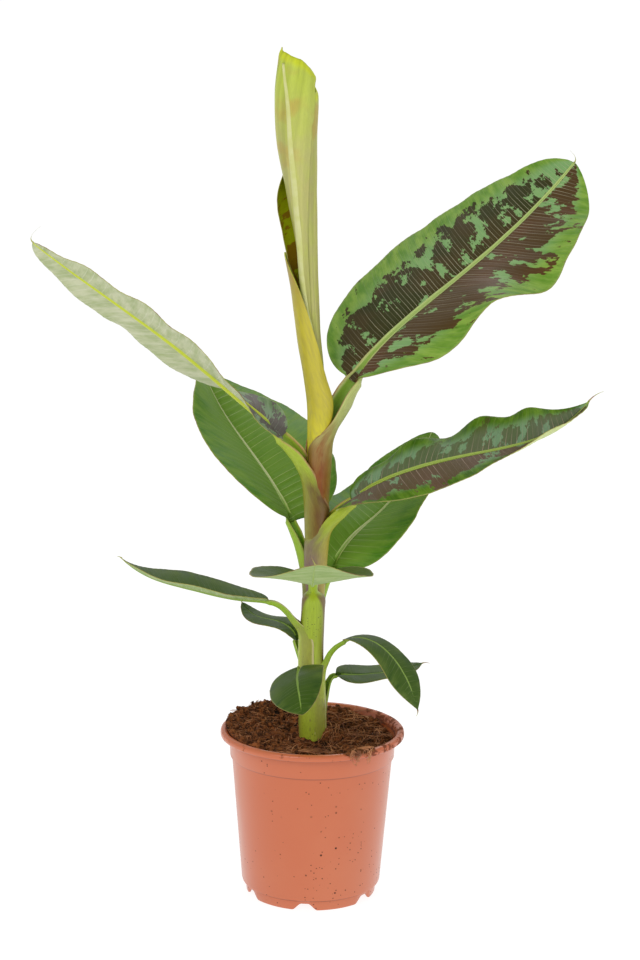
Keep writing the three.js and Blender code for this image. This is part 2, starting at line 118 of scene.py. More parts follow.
def heading(rise: float, bearing: float) -> Vector:
    """Unit vector that rises by one angle and points along a compass bearing from +X."""
    r, b = math.radians(rise), math.radians(bearing)
    return Vector((math.cos(r) * math.cos(b), math.cos(r) * math.sin(b), math.sin(r)))


def rough(point: Sequence[float], scale: float = 1.0, seed: float = 0.0) -> float:
    """Smooth noise from about -1 to 1 at a point, with features of the given size."""
    return noise.noise(Vector(point) / scale + Vector((seed, 1.7 * seed, -seed)))


def chances(first: float, second: float, count: int = 3) -> List[float]:
    """Numbers from 0 to 1 that always come out the same for the same two numbers."""
    return [noise.cell(Vector((first + 0.5, second + 0.5, n + 0.5))) % 1.0 for n in range(count)]


# Meshes

class Sheet:
    """A grid of points moved by a formula, with its own pattern coordinates.

    Args:
        rows: steps along the sheet.
        columns: steps across it.
        place: point in millimetres for a row and a column.
        closed: whether the last column meets the first.
    """

    def __init__(self, rows: int, columns: int, place: Place, closed: bool = False) -> None:
        """Lays out the grid and moves its points."""
        self.rows, self.columns, self.closed = rows, columns, closed
        self.mesh = bmesh.new()
        bmesh.ops.create_grid(self.mesh, x_segments=columns, y_segments=rows, size=1.0)
        self.cell: Dict[int, Tuple[int, int]] = {}
        for vertex in self.mesh.verts:
            j = round((vertex.co.x + 1) / 2 * columns)
            i = round((vertex.co.y + 1) / 2 * rows)
            self.cell[vertex.index] = (i, j)
            vertex.co = place(i, j) * MM

    def map(self, name: str, value: Optional[Callable[[int, int], Tuple[float, float]]] = None) -> None:
        """Adds a pattern coordinate.

        Args:
            name: name of the map.
            value: two coordinates for a row and a column, or by default their shares of the sheet.
        """
        value = value or (lambda i, j: (i / self.rows, j / self.columns))
        layer = self.mesh.loops.layers.uv.new(name)
        for face in self.mesh.faces:
            for loop in face.loops:
                loop[layer].uv = value(*self.cell[loop.vert.index])

    def finish(self, caps: bool = False) -> bmesh.types.BMesh:
        """Joins the seam and, if asked, closes the ends and turns the faces outwards.

        Args:
            caps: whether open ends get a face.

        Returns:
            The finished bmesh.
        """
        if self.closed:
            bmesh.ops.remove_doubles(self.mesh, verts=self.mesh.verts, dist=MERGE)
        if caps:
            close(self.mesh)
        return self.mesh


def close(mesh: bmesh.types.BMesh) -> None:
    """Fills every open end and turns the faces outwards.

    Args:
        mesh: the mesh to close.
    """
    rim = [edge for edge in mesh.edges if edge.is_boundary]
    bmesh.ops.holes_fill(mesh, edges=rim, sides=0)
    bmesh.ops.recalc_face_normals(mesh, faces=mesh.faces)


def piece(name: str, mesh: bmesh.types.BMesh, finishes: Sequence["Finish"],
          replaces: Sequence[str] = (), crease: float = 180.0) -> bpy.types.Object:
    """Makes a finished object of a bmesh and hangs it on the plant's body.

    Args:
        name: name of the piece.
        mesh: its shape in metres, which is freed.
        finishes: finishes for the material indices, from 0.
        replaces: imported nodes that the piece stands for.
        crease: angle in degrees past which an edge is shaded sharp.

    Returns:
        The new object.
    """
    data = bpy.data.meshes.new(name)
    for face in mesh.faces:
        face.smooth = crease > 0
    for edge in mesh.edges:
        edge.smooth = edge.calc_face_angle(0.0) < math.radians(crease)
    mesh.to_mesh(data)
    mesh.free()
    obj = bpy.data.objects.new(name, data)
    bpy.context.scene.collection.objects.link(obj)
    for finish in finishes:
        data.materials.append(finish.material())
    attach(obj, "root")
    if replaces:
        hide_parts(*replaces)
    LOG.info("%s: %d faces", name, len(data.polygons))
    return obj


def thicken(obj: bpy.types.Object, thickness: float, under: int = 0, rim: int = 0) -> None:
    """Gives a sheet its thickness.

    Args:
        obj: the piece.
        thickness: its thickness in millimetres.
        under: steps on to the finish of its underside.
        rim: steps on to the finish of its rim.
    """
    solid = obj.modifiers.new("thickness", "SOLIDIFY")
    solid.thickness, solid.offset = thickness * MM, 0.0
    solid.material_offset, solid.material_offset_rim = under, rim


# Shader building

class Value:
    """What a shader node puts out, with arithmetic and other steps that add further nodes."""

    def __init__(self, wiring: "Wiring", socket: bpy.types.NodeSocket) -> None:
        """Keeps the node's output and the wiring that made it."""
        self.wiring, self.socket = wiring, socket

    def __add__(self, other: Input) -> "Value":
        """This value and another."""
        return self.math("ADD", other)

    def __sub__(self, other: Input) -> "Value":
        """This value less another."""
        return self.math("SUBTRACT", other)

    def __rsub__(self, other: float) -> "Value":
        """A number less this value."""
        return self.wiring.math("SUBTRACT", other, self)

    def __mul__(self, other: Input) -> "Value":
        """This value times another."""
        return self.math("MULTIPLY", other)

    def __truediv__(self, other: Input) -> "Value":
        """This value divided by another."""
        return self.math("DIVIDE", other)

    def __rtruediv__(self, other: float) -> "Value":
        """A number divided by this value."""
        return self.wiring.math("DIVIDE", other, self)

    def __abs__(self) -> "Value":
        """This value without its sign."""
        return self.math("ABSOLUTE")

    def math(self, operation: str, *others: Input) -> "Value":
        """Result of a Math node that takes this value first."""
        return self.wiring.math(operation, self, *others)

    def band(self, low: float, high: float, start: float = 0.0, end: float = 1.0,
             shape: str = "SMOOTHSTEP") -> "Value":
        """Carries this value from one range over to another.

        Args:
            low: lower end of its own range.
            high: upper end of its own range.
            start: result at and below the lower end.
            end: result at and above the upper end.
            shape: Blender's name of the step between them.

        Returns:
            The result.
        """
        inputs = {"Value": self, "From Min": low, "From Max": high, "To Min": start, "To Max": end}
        return self.wiring.take("ShaderNodeMapRange", "Result", inputs, interpolation_type=shape)

    def ramp(self, stops: Sequence[Tuple[float, str]]) -> "Value":
        """Colour of this value on a colour band.

        Args:
            stops: positions from 0 to 1 with their colour codes.

        Returns:
            The colour.
        """
        node = self.wiring.add("ShaderNodeValToRGB", {0: self})
        band = node.color_ramp
        while len(band.elements) < len(stops):
            band.elements.new(0.5)
        for element, (position, code) in zip(band.elements, stops):
            element.position, element.color = position, colour(code)
        return Value(self.wiring, node.outputs[0])

    def under(self, share: Input, top: Input) -> "Value":
        """This colour under a share of another."""
        return self.wiring.blend(share, self, top)

    def lit(self, light: "Value") -> "Value":
        """This colour times a brightness."""
        return self.wiring.blend(1.0, self, self.wiring.combine(light, light, light), "MULTIPLY")


class Wiring:
    """Adds nodes to one node tree and wires them."""

    def __init__(self, tree: bpy.types.NodeTree) -> None:
        """Keeps the node tree."""
        self.tree = tree

    def feed(self, socket: bpy.types.NodeSocket, value: Input) -> None:
        """Links or sets one input.

        Args:
            socket: the input.
            value: another node's output, a number, a vector or a colour code.
        """
        if isinstance(value, Value):
            self.tree.links.new(value.socket, socket)
        else:
            socket.default_value = colour(value) if isinstance(value, str) else value

    def add(self, kind: str, inputs: Optional[Inputs] = None, **settings: object) -> bpy.types.Node:
        """Adds a node.

        Args:
            kind: Blender's name of the node type.
            inputs: what goes in, by input name or number.
            settings: the node's own properties.

        Returns:
            The node.
        """
        node = self.tree.nodes.new(kind)
        for name, value in settings.items():
            setattr(node, name, value)
        for key, value in (inputs or {}).items():
            self.feed(node.inputs[key], value)
        return node

    def take(self, kind: str, output: Union[int, str], inputs: Optional[Inputs] = None,
             **settings: object) -> Value:
        """Adds a node and returns one of its outputs, by name or number."""
        return Value(self, self.add(kind, inputs, **settings).outputs[output])

    def math(self, operation: str, *values: Input) -> Value:
        """Result of a Math node."""
        return self.take("ShaderNodeMath", 0, dict(enumerate(values)), operation=operation)

    def blend(self, share: Input, low: Input, high: Input, mode: str = "MIX") -> Value:
        """Colour between two colours."""
        return self.take("ShaderNodeMix", 2, {0: share, 6: low, 7: high}, data_type="RGBA", blend_type=mode)

    def combine(self, x: Input, y: Input, z: Input = 0.0) -> Value:
        """Vector of three values."""
        return self.take("ShaderNodeCombineXYZ", 0, {0: x, 1: y, 2: z})

    def split(self, vector: Value) -> List[Value]:
        """The three values of a vector."""
        return [Value(self, part) for part in self.add("ShaderNodeSeparateXYZ", {0: vector}).outputs]

    def map(self, name: str) -> List[Value]:
        """The two values of a piece's own pattern coordinate."""
        return self.split(self.take("ShaderNodeUVMap", 0, uv_map=name))[:2]

    def place(self) -> Value:
        """Object coordinates."""
        return self.take("ShaderNodeTexCoord", "Object")

    def dice(self, number: Value) -> Value:
        """A number from 0 to 1 that jumps from one whole number to the next."""
        whole = number.math("FLOOR")
        return self.take("ShaderNodeTexWhiteNoise", "Value", {"W": whole}, noise_dimensions="1D")

    def noise(self, vector: Value, scale: Input, detail: float = 3.0, roughness: float = 0.5,
              distortion: float = 0.0) -> Value:
        """Noise from 0 to 1.

        Args:
            vector: where.
            scale: features per unit.
            detail: how many finer layers are added.
            roughness: how strong the finer layers are.
            distortion: how far the pattern is bent.

        Returns:
            The noise.
        """
        inputs = {"Vector": vector, "Scale": scale, "Detail": detail, "Roughness": roughness,
                  "Distortion": distortion}
        return self.take("ShaderNodeTexNoise", "Fac", inputs)

    def surface(self, base: Input, roughness: Input, height: Optional[Value] = None,
                depth: float = 0.4, **others: Input) -> None:
        """Ends a material in its shader.

        Args:
            base: base colour.
            roughness: roughness.
            height: relief in millimetres, if any.
            depth: strength of the relief.
            others: other shader sockets, by name with underscores for spaces.
        """
        shader = self.add("ShaderNodeBsdfPrincipled", {"Base Color": base, "Roughness": roughness})
        for name, value in others.items():
            self.feed(shader.inputs[name.replace("_", " ")], value)
        if height is not None:
            bump = self.take("ShaderNodeBump", 0, {"Height": height, "Strength": depth, "Distance": MM})
            self.feed(shader.inputs["Normal"], bump)
        output = self.add("ShaderNodeOutputMaterial")
        self.tree.links.new(shader.outputs[0], output.inputs[0])


class Effect:
    """A shader group that several finishes share, built once.

    Subclasses name their inputs and outputs and wire the group in build().
    """

    title: str
    inputs: Dict[str, float]
    outputs: Tuple[str, ...]

    def build(self, wiring: Wiring, given: Dict[str, Value]) -> Dict[str, Value]:
        """Wires the group's inside.

        Args:
            wiring: the group's node tree.
            given: its inputs by name.

        Returns:
            Its outputs by name.
        """
        raise NotImplementedError

    def tree(self) -> bpy.types.NodeTree:
        """The group's node tree, made at its first use."""
        found = bpy.data.node_groups.get(self.title)
        if found:
            return found
        tree = bpy.data.node_groups.new(self.title, "ShaderNodeTree")
        for name, default in self.inputs.items():
            socket = tree.interface.new_socket(name, in_out="INPUT", socket_type="NodeSocketFloat")
            socket.default_value = default
        for name in self.outputs:
            tree.interface.new_socket(name, in_out="OUTPUT", socket_type="NodeSocketFloat")
        wiring = Wiring(tree)
        entry, end = wiring.add("NodeGroupInput"), wiring.add("NodeGroupOutput")
        made = self.build(wiring, {name: Value(wiring, entry.outputs[name]) for name in self.inputs})
        for name, value in made.items():
            wiring.feed(end.inputs[name], value)
        return tree

    def use(self, wiring: Wiring, **values: Input) -> List[Value]:
        """Places the group in a material.

        Args:
            wiring: the material's wiring.
            values: the group's inputs.

        Returns:
            What it puts out, in the order of its outputs.
        """
        node = wiring.add("ShaderNodeGroup", values, node_tree=self.tree())
        return [Value(wiring, node.outputs[name]) for name in self.outputs]


class LeafVeins(Effect):
    """Fine side veins that sweep from the rib to the margin, from the map "vein" in centimetres."""

    title = "leaf_veins"
    inputs = {"Spacing": 0.9, "Width": 0.1, "Seed": 0.0}
    outputs = ("Line", "Streak", "Shade")

    def build(self, wiring: Wiring, given: Dict[str, Value]) -> Dict[str, Value]:
        """Wires lines, hair-fine streaks and a broad change of shade."""
        run, out = wiring.map("vein")
        far = abs(out)
        shifted = run + out.math("SIGN") * 37.3 + given["Seed"]
        drift = wiring.noise(wiring.combine(shifted * 0.35, far), 0.35, 1.0)
        count = shifted / given["Spacing"] + drift * 0.35
        off = abs(count.math("FRACT") - 0.5) / given["Width"]
        line = (1.0 - off.band(0.0, 1.0)) * wiring.dice(count).band(0.1, 0.9, 0.25, 1.0)
        streak = wiring.noise(wiring.combine(shifted * 26.0, far * 0.7), 1.0, 2.0)
        broad = wiring.noise(wiring.combine(shifted * 0.8, far * 0.3), 1.0, 3.0, 0.6)
        return {"Line": line, "Streak": streak, "Shade": broad}


class Blotches(Effect):
    """Sharp-edged patches drawn out along the veins, thickest beside the rib."""

    title = "leaf_blotches"
    inputs = {"Amount": 0.5, "Size": 1.0, "Seed": 0.0, "Middle": 0.5, "Lean": 0.0}
    outputs = ("Mask",)

    def build(self, wiring: Wiring, given: Dict[str, Value]) -> Dict[str, Value]:
        """Wires patches whose edges step from vein to vein."""
        run, out = wiring.map("vein")
        share, across = wiring.map("leaf")
        side = out.math("SIGN")
        reach = abs(out) + wiring.dice(run * 7.0) * 0.3
        seeded = wiring.combine(run + given["Seed"], reach * 0.8, side)
        scale = 0.5 / given["Size"]
        broad = wiring.noise(seeded, scale, 2.0, 0.5)
        fine = wiring.noise(seeded, scale * 3.6, 4.0, 0.65, 0.3)
        near = abs(across * 2.0 - 1.0).band(0.4, 1.0, 0.0, -0.4)
        ends = share.band(0.0, 0.12, -0.12, 0.0) + share.band(0.82, 1.0, 0.0, -0.2)
        total = broad * 1.15 + fine * 0.52 + (near + ends) * given["Middle"]
        total = total + given["Amount"] + side * given["Lean"]
        return {"Mask": total.band(1.0, 1.015)}


class Specks(Effect):
    """Scattered dark crumbs and dust, from object coordinates."""

    title = "soil_specks"
    inputs = {"Scale": 300.0, "Amount": 0.1}
    outputs = ("Mask",)

    def build(self, wiring: Wiring, given: Dict[str, Value]) -> Dict[str, Value]:
        """Wires small ragged dots that crowd together in places."""
        place, scale = wiring.place(), given["Scale"]
        bend = wiring.noise(place, scale * 2.0, 2.0)
        cells = wiring.add("ShaderNodeTexVoronoi", {"Vector": place, "Scale": scale})
        size = wiring.split(Value(wiring, cells.outputs["Color"]))[0]
        crowd = wiring.noise(place, scale * 0.09, 2.0)
        chance = given["Amount"] * crowd.band(0.35, 0.75, 0.1, 2.2)
        spot = Value(wiring, cells.outputs["Distance"]) + bend * 0.25
        return {"Mask": spot.band(0.28, 0.4, 1.0, 0.0) * (chance - size).band(0.0, 0.02)}


class Fibres(Effect):
    """Lengthways fibres of a stem or stalk, from the map "stalk": length, then turn round it."""

    title = "stalk_fibres"
    inputs = {"Count": 60.0, "Length": 6.0}
    outputs = ("Streak", "Cloud")

    def build(self, wiring: Wiring, given: Dict[str, Value]) -> Dict[str, Value]:
        """Wires fine streaks and broad clouds."""
        run, turn = wiring.map("stalk")
        angle = turn * (2 * math.pi)
        ring = wiring.combine(angle.math("COSINE"), angle.math("SINE"), run * given["Length"])
        drawn = {0: ring, 1: (1.0, 1.0, 0.12)}
        tall = wiring.take("ShaderNodeVectorMath", 0, drawn, operation="MULTIPLY")
        return {"Streak": wiring.noise(tall, given["Count"], 2.0, 0.6),
                "Cloud": wiring.noise(ring, 2.2, 3.0, 0.55)}


# Finishes

SOIL_SPECK = "#2a1d12"
# Painted shade for the hollows between the soil's clumps.
SOIL_HOLLOW_SHADE = "#170b05"


class Finish:
    """A named material, made once."""

    name: str

    def paint(self, wiring: Wiring) -> None:
        """Wires the material.

        Args:
            wiring: the material's node tree, still empty.
        """
        raise NotImplementedError

    def material(self) -> bpy.types.Material:
        """The material, made at its first use."""
        found = bpy.data.materials.get(self.name)
        if found:
            return found
        made = bpy.data.materials.new(self.name)
        made.use_nodes = True
        made.node_tree.nodes.clear()
        self.paint(Wiring(made.node_tree))
        return made


@dataclass(frozen=True)
class BladeFinish(Finish):
    """Upper side of a leaf: greens in bands along the veins, pale vein lines, patches and a soft gloss."""

    name: str
    dark: str
    light: str
    inner: str
    vein: str
    vein_strength: float
    vein_spacing: float
    vein_width: float
    blotch: str = "#4b3a2c"
    blotch_tint: str = "#6b4d42"
    blotch_amount: float = 0.0
    blotch_middle: float = 1.0
    blotch_size: float = 1.0
    blotch_lean: float = 0.0
    blotch_left: float = 0.94
    edge: str = "#9aa85a"
    roughness: float = 0.42
    gloss: float = 0.28
    seed: float = 0.0

    def paint(self, wiring: Wiring) -> None:
        """Wires the leaf's face."""
        line, streak, shade = LeafVeins().use(wiring, Spacing=self.vein_spacing, Width=self.vein_width,
                                              Seed=self.seed)
        across = wiring.map("leaf")[1]
        off = abs(across * 2.0 - 1.0)
        base = wiring.blend(shade.band(0.3, 0.7), self.dark, self.light)
        base = base.under(off.band(0.45, 0.85, 0.8, 0.0), self.inner)
        if self.blotch_amount:
            mask, = Blotches().use(wiring, Amount=self.blotch_amount, Size=self.blotch_size,
                                   Seed=self.seed, Middle=self.blotch_middle, Lean=self.blotch_lean)
            cloud = wiring.noise(wiring.place(), 14.0, 2.0).band(0.4, 0.6, 0.0, 0.35)
            cloud += across.band(0.46, 0.54, 0.0, 0.65)
            cover = mask * across.band(0.46, 0.54, self.blotch_left, 0.94)
            base = base.under(cover, wiring.blend(cloud, self.blotch, self.blotch_tint))
        base = base.lit(streak.band(0.25, 0.75, 0.84, 1.16, "LINEAR"))
        base = base.under(line * off.band(0.02, 0.8, 1.0, 0.12) * self.vein_strength, self.vein)
        base = base.under(off.band(0.97, 0.995, 0.0, 0.6), self.edge)
        sheen = shade.band(0.3, 0.7, self.roughness - 0.06, self.roughness + 0.08)
        wiring.surface(base, sheen, streak * 0.14 + line * 0.3, 0.6, Specular_IOR_Level=self.gloss)


@dataclass(frozen=True)
class UnderFinish(Finish):
    """Underside of a leaf: paler, with a waxy bloom."""

    name: str
    dark: str
    light: str
    vein: str = "#d5dbc0"
    vein_strength: float = 0.3
    blotch: str = "#6b5550"
    blotch_amount: float = 0.0
    seed: float = 0.0

    def paint(self, wiring: Wiring) -> None:
        """Wires the leaf's back."""
        line, streak, shade = LeafVeins().use(wiring, Spacing=0.9, Width=0.12, Seed=self.seed)
        base = wiring.blend(shade.band(0.3, 0.7), self.dark, self.light)
        if self.blotch_amount:
            mask, = Blotches().use(wiring, Amount=self.blotch_amount, Size=1.0, Seed=self.seed, Middle=0.5)
            base = base.under(mask * 0.75, self.blotch)
        base = base.lit(streak.band(0.25, 0.75, 0.92, 1.08, "LINEAR"))
        base = base.under(line * self.vein_strength, self.vein)
        wiring.surface(base, 0.62, streak * 0.1 + line * 0.3, 0.5, Specular_IOR_Level=0.3)


@dataclass(frozen=True)
class RimFinish(Finish):
    """Thin dry edge of a leaf or sheath."""

    name: str = "leaf_margin"
    shade: str = "#a9a352"
    dry: str = "#8a6a3c"

    def paint(self, wiring: Wiring) -> None:
        """Wires a yellowish edge with browner stretches."""
        cloud = wiring.noise(wiring.place(), 60.0, 2.0).band(0.5, 0.62)
        wiring.surface(wiring.blend(cloud, self.shade, self.dry), 0.6)


@dataclass(frozen=True)
class StalkFinish(Finish):
    """Sheath, stalk and rib of a leaf in one run of colours, with a tinted margin and a bright keel."""

    name: str
    sheath: str
    keel: str
    stalk: str
    channel: str
    rib: str
    margin: str
    bruise: str
    bruise_amount: float
    flank: float = 0.35
    flank_end: float = 0.46
    strip: float = 0.06
    specks: float = 0.0

    def paint(self, wiring: Wiring) -> None:
        """Wires the colours by place along and round the stalk."""
        run, turn = wiring.map("stalk")
        streak, clouds = Fibres().use(wiring)
        base = run.ramp([(0.0, self.sheath), (0.36, self.sheath), (0.52, self.stalk), (0.66, self.stalk),
                         (0.74, self.rib), (1.0, self.rib)])
        around = abs(turn - 0.25)
        base = base.under(around.band(0.02, 0.12, 1.0, 0.0) * run.band(0.45, 0.62, 0.75, 0.15), self.keel)
        cloud = clouds.band(0.42, 0.66).band(0.0, 1.0, 0.35, 1.0) * around.band(0.03, 0.2, 0.15, 1.0)
        base = base.under(cloud * run.band(0.4, 0.6, self.bruise_amount, 0.0), self.bruise)
        strip = around - run.band(self.flank_end - 0.08, self.flank_end, 0.085, self.strip)
        flank = strip.band(0.0, 0.034, 0.0, self.flank)
        flank *= run.band(self.flank_end - 0.02, self.flank_end + 0.01, 1.0, 0.0)
        base = base.under(flank, self.bruise)
        inside = turn.band(0.53, 0.57) * turn.band(0.93, 0.97, 1.0, 0.0) * run.band(0.66, 0.76, 1.0, 0.35)
        base = base.under(inside * 0.85, self.channel)
        base = base.lit(streak.band(0.3, 0.7, 0.82, 1.18, "LINEAR"))
        edge = abs(turn - 0.5).math("MINIMUM", turn.math("MINIMUM", 1.0 - turn))
        base = base.under(edge.band(0.008, 0.03, 1.0, 0.0) * run.band(0.6, 0.74, 0.8, 0.0), self.margin)
        if self.specks:
            dots, = Specks().use(wiring, Scale=420.0, Amount=self.specks)
            base = base.under(dots * 0.85, SOIL_SPECK)
        wiring.surface(base, clouds.band(0.3, 0.7, 0.38, 0.5), streak * 0.3, 0.5)


@dataclass(frozen=True)
class StemFinish(Finish):
    """Body of the stem: colours by height, with bruises, fibres and specks of soil near the foot."""

    name: str = "stem_skin"
    foot: str = "#a9a44e"
    low: str = "#8f9444"
    middle: str = "#7d6a44"
    high: str = "#8a7a3e"
    top: str = "#c9bf55"
    bruise: str = "#5f4034"
    foot_height: float = 0.176
    top_height: float = 0.60

    def paint(self, wiring: Wiring) -> None:
        """Wires the colours by height."""
        height = wiring.split(wiring.place())[2]
        share = height.band(self.foot_height, self.top_height, 0.0, 1.0, "LINEAR")
        streak, clouds = Fibres().use(wiring)
        base = share.ramp([(0.0, self.foot), (0.2, self.low), (0.45, self.middle), (0.75, self.high),
                           (1.0, self.top)])
        base = base.under(clouds.band(0.45, 0.65) * 0.55, self.bruise)
        base = base.lit(streak.band(0.3, 0.7, 0.85, 1.15, "LINEAR"))
        dots, = Specks().use(wiring, Scale=420.0, Amount=0.12)
        base = base.under(dots * height.band(0.19, 0.34, 0.9, 0.0), SOIL_SPECK)
        wiring.surface(base, 0.42, streak * 0.35, 0.5)


@dataclass(frozen=True)
class SpearFinish(Finish):
    """Rolled leaf: pale yellow-green, lime at its cut top and olive where the light falls off."""

    name: str = "spear_back"
    pale: str = "#b8b66a"
    fresh: str = "#b6c442"
    olive: str = "#9b9648"
    base_tint: str = "#d8cf3c"
    lime: str = "#cad410"
    warm: str = "#bc9a40"
    low: float = 0.56
    high: float = 0.96
    tip_share: float = 0.85
    streak_relief_and_fold_shade: float = 0.14

    def paint(self, wiring: Wiring) -> None:
        """Wires the colours by height and along the roll, with painted shade and highlight along its
        lengthwise folds.
        """
        height = wiring.split(wiring.place())[2]
        share = height.band(self.low, self.high, 0.0, 1.0, "LINEAR")
        base = share.ramp([(0.0, self.base_tint), (0.12, self.olive), (0.3, self.pale), (0.7, self.pale),
                           (0.92, self.fresh), (1.0, self.fresh)])
        streak, clouds = Fibres().use(wiring, Length=9.0)
        base = base.under(clouds.band(0.4, 0.7) * 0.4, self.fresh)
        warm = wiring.noise(wiring.place(), 30.0, 2.0).band(0.46, 0.62)
        base = base.under(warm * share.band(0.55, 0.8, 0.0, 0.6), self.warm)
        run, turn = wiring.map("stalk")
        base = base.under(run.band(0.972, 0.99) * self.tip_share, self.lime)
        base = base.lit(streak.band(0.3, 0.7, 1.0 - self.streak_relief_and_fold_shade / 2, 1.0 + self.streak_relief_and_fold_shade / 2, "LINEAR"))
        # Painted shade and highlight: the lengthwise folds darken and lighten the colour, on top of their
        # bump.
        folds = wiring.noise(wiring.combine(turn * 26.0, run * 2.2), 1.0, 2.0)
        base = base.lit(folds.band(0.36, 0.64, 1.0 - self.streak_relief_and_fold_shade, 1.0 + 0.8 * self.streak_relief_and_fold_shade, "LINEAR"))
        wiring.surface(base, 0.46, streak * (2 * self.streak_relief_and_fold_shade) + folds * (8 * self.streak_relief_and_fold_shade), 0.5)


@dataclass(frozen=True)
class PlainFinish(Finish):
    """A surface of one colour that clouds a little, with a fine grain."""

    name: str
    shade: str
    cloud: str
    roughness: float
    grain: float = 220.0

    def paint(self, wiring: Wiring) -> None:
        """Wires the clouding and grain."""
        place = wiring.place()
        share = wiring.noise(place, self.grain * 0.25, 3.0).band(0.35, 0.65)
        base = wiring.blend(share, self.shade, self.cloud)
        wiring.surface(base, self.roughness, wiring.noise(place, self.grain * 4, 2.0), 0.25)


@dataclass(frozen=True)
class PaperFinish(Finish):
    """Lit white paper of the studio floor."""

    name: str = "studio_paper"
    glow: float = 0.9

    def paint(self, wiring: Wiring) -> None:
        """Wires matt white that glows a little, so that it stays white far from the lights."""
        grain = wiring.noise(wiring.place(), 3.0, 2.0).band(0.0, 1.0, 0.2, 0.22)
        wiring.surface(wiring.combine(grain, grain, grain), 0.9, Emission_Color=WHITE,
                       Emission_Strength=self.glow, Specular_IOR_Level=0.1)


@dataclass(frozen=True)
class PotFinish(Finish):
    """Moulded terracotta-coloured plastic with soil specks, smears on top, and painted shade lines under
    the lip, under the shoulder step and at the foot ring.
    """

    name: str = "moulded_plastic"
    shade: str = "#ca6639"
    light: str = "#d0754b"
    soil: str = "#2e190e"
    smeared: str = "#4a2412"
    crease_shade: str = "#7c3c26"
    # Colour of the painted shade lines in the pot's creases.
    lip_height: float = 0.1855
    shoulder_step_height: float = 0.162
    under_lip: float = 0.185
    foot_ring: float = 0.012

    def paint(self, wiring: Wiring) -> None:
        """Wires the plastic, its specks and smears, and the painted shade lines in its creases."""
        place = wiring.place()
        x, _, z = wiring.split(place)
        cloud = wiring.noise(place, 9.0, 3.0).band(0.35, 0.7)
        base = wiring.blend(cloud * 0.5, self.shade, self.light)
        many = x.band(-0.05, 0.05, 0.35, 1.0) * z.band(0.0, 0.12, 1.0, 0.45)
        small, = Specks().use(wiring, Scale=320.0, Amount=many * 0.22)
        large, = Specks().use(wiring, Scale=180.0, Amount=many * 0.06)
        dots = small.math("MAXIMUM", large)
        base = base.under(dots * 0.95, self.soil)
        # Painted shade: thin darker lines under the shoulder step, under the lip and at the foot ring.
        seam = abs(z - self.shoulder_step_height).band(0.0004, 0.0013, 0.5, 0.0)
        crease = abs(z - self.under_lip).band(0.0005, 0.0018, 0.7, 0.0)
        ring = abs(z - self.foot_ring).band(0.0003, 0.0012, 0.7, 0.0)
        base = base.under(seam.math("MAXIMUM", crease).math("MAXIMUM", ring), self.crease_shade)
        smear = wiring.noise(place, 95.0, 5.0, 0.72, 0.2) + x.band(0.0, 0.1, -0.06, 0.06)
        smear = smear.band(0.53, 0.62) * z.band(self.lip_height - 0.002, self.lip_height + 0.001)
        base = base.under(smear * 0.7, self.smeared)
        dirt = smear.math("MAXIMUM", dots)
        roughness = cloud.band(0.0, 1.0, 0.36, 0.44) + dirt * 0.5
        grain = wiring.noise(place, 1400.0, 2.0) * 0.08
        wiring.surface(base, roughness, grain, 0.4, Specular_IOR_Level=0.5, Coat_Roughness=0.22,
                       Coat_Weight=dirt.band(0.0, 0.6, 0.5, 0.0))


@dataclass(frozen=True)
class SoilFinish(Finish):
    """Dark crumbly potting soil."""

    name: str
    dark: str = "#2c150a"
    light: str = "#9a5930"
    fleck: str = "#b4743c"
    hollow_shade: float = 0.0

    def paint(self, wiring: Wiring) -> None:
        """Wires dark and rusty crumbs, and where asked painted shade in the hollows between the clumps."""
        place = wiring.place()
        coarse = wiring.noise(place, 160.0, 5.0, 0.7)
        fine = wiring.noise(place, 700.0, 3.0, 0.6)
        base = wiring.blend(coarse.band(0.38, 0.62), self.dark, self.light)
        base = base.under(fine.band(0.62, 0.72, 0.0, 0.6), self.fleck)
        # Painted shade: the low places between the clumps, read from the map "depth", are darkened.
        if self.hollow_shade:
            base = base.under(wiring.map("depth")[0].band(0.38, 0.66, self.hollow_shade, 0.0), SOIL_HOLLOW_SHADE)
        wiring.surface(base, 0.92, coarse * 1.6 + fine * 0.6, 0.8, Specular_IOR_Level=0.2)


# The stem that everything is measured from

@dataclass
class Stem:
    """The stem from the soil to its fork, and the shapes of sheath layers round it."""

    foot: float = 176.0
    top: float = 552.0
    radius: Tuple[float, ...] = (14.6, 14.3, 13.2, 12.6, 13.2, 14.2, 14.7, 13.6)
    lean: Tuple[float, ...] = (0.8, -0.7, -2.3, -0.6, 1.4, 1.8, 2.6, 5.2)
    core_inset: float = 3.0
    rows: int = 150
    columns: int = 72

    def centre(self, z: float) -> Vector:
        """Centre of the stem at a height."""
        return Vector((along(self.lean, (z - self.foot) / (self.top - self.foot)), 0.0, z))

    def half_width(self, z: float) -> float:
        """Radius of the whole stem at a height, sheaths included."""
        return along(self.radius, (z - self.foot) / (self.top - self.foot))

    def build(self) -> None:
        """Models the stem's body, ribbed lengthways where sheath edges press on it."""
        def place(i: int, j: int) -> Vector:
            """Point of the stem's skin."""
            z = mix(self.foot - 1.5, self.top + 14, i / self.rows)
            turn = 2 * math.pi * j / self.columns
            out = Vector((math.cos(turn), math.sin(turn), 0))
            groove = 0.35 * math.sin(3 * turn + z / 55) + 0.25 * rough(out * 3 + UP * z / 60)
            flute = 0.12 * math.sin(19 * turn + 1.3 * math.sin(z / 70))
            inset = self.core_inset * ease(self.foot - 4, self.foot + 14, z)
            return self.centre(z) + out * (self.half_width(z) - inset + groove + flute)

        sheet = Sheet(self.rows, self.columns, place, closed=True)
        sheet.map("stalk")
        piece("stem_body", sheet.finish(caps=True), [StemFinish()], ["trunk"])


# Leaves

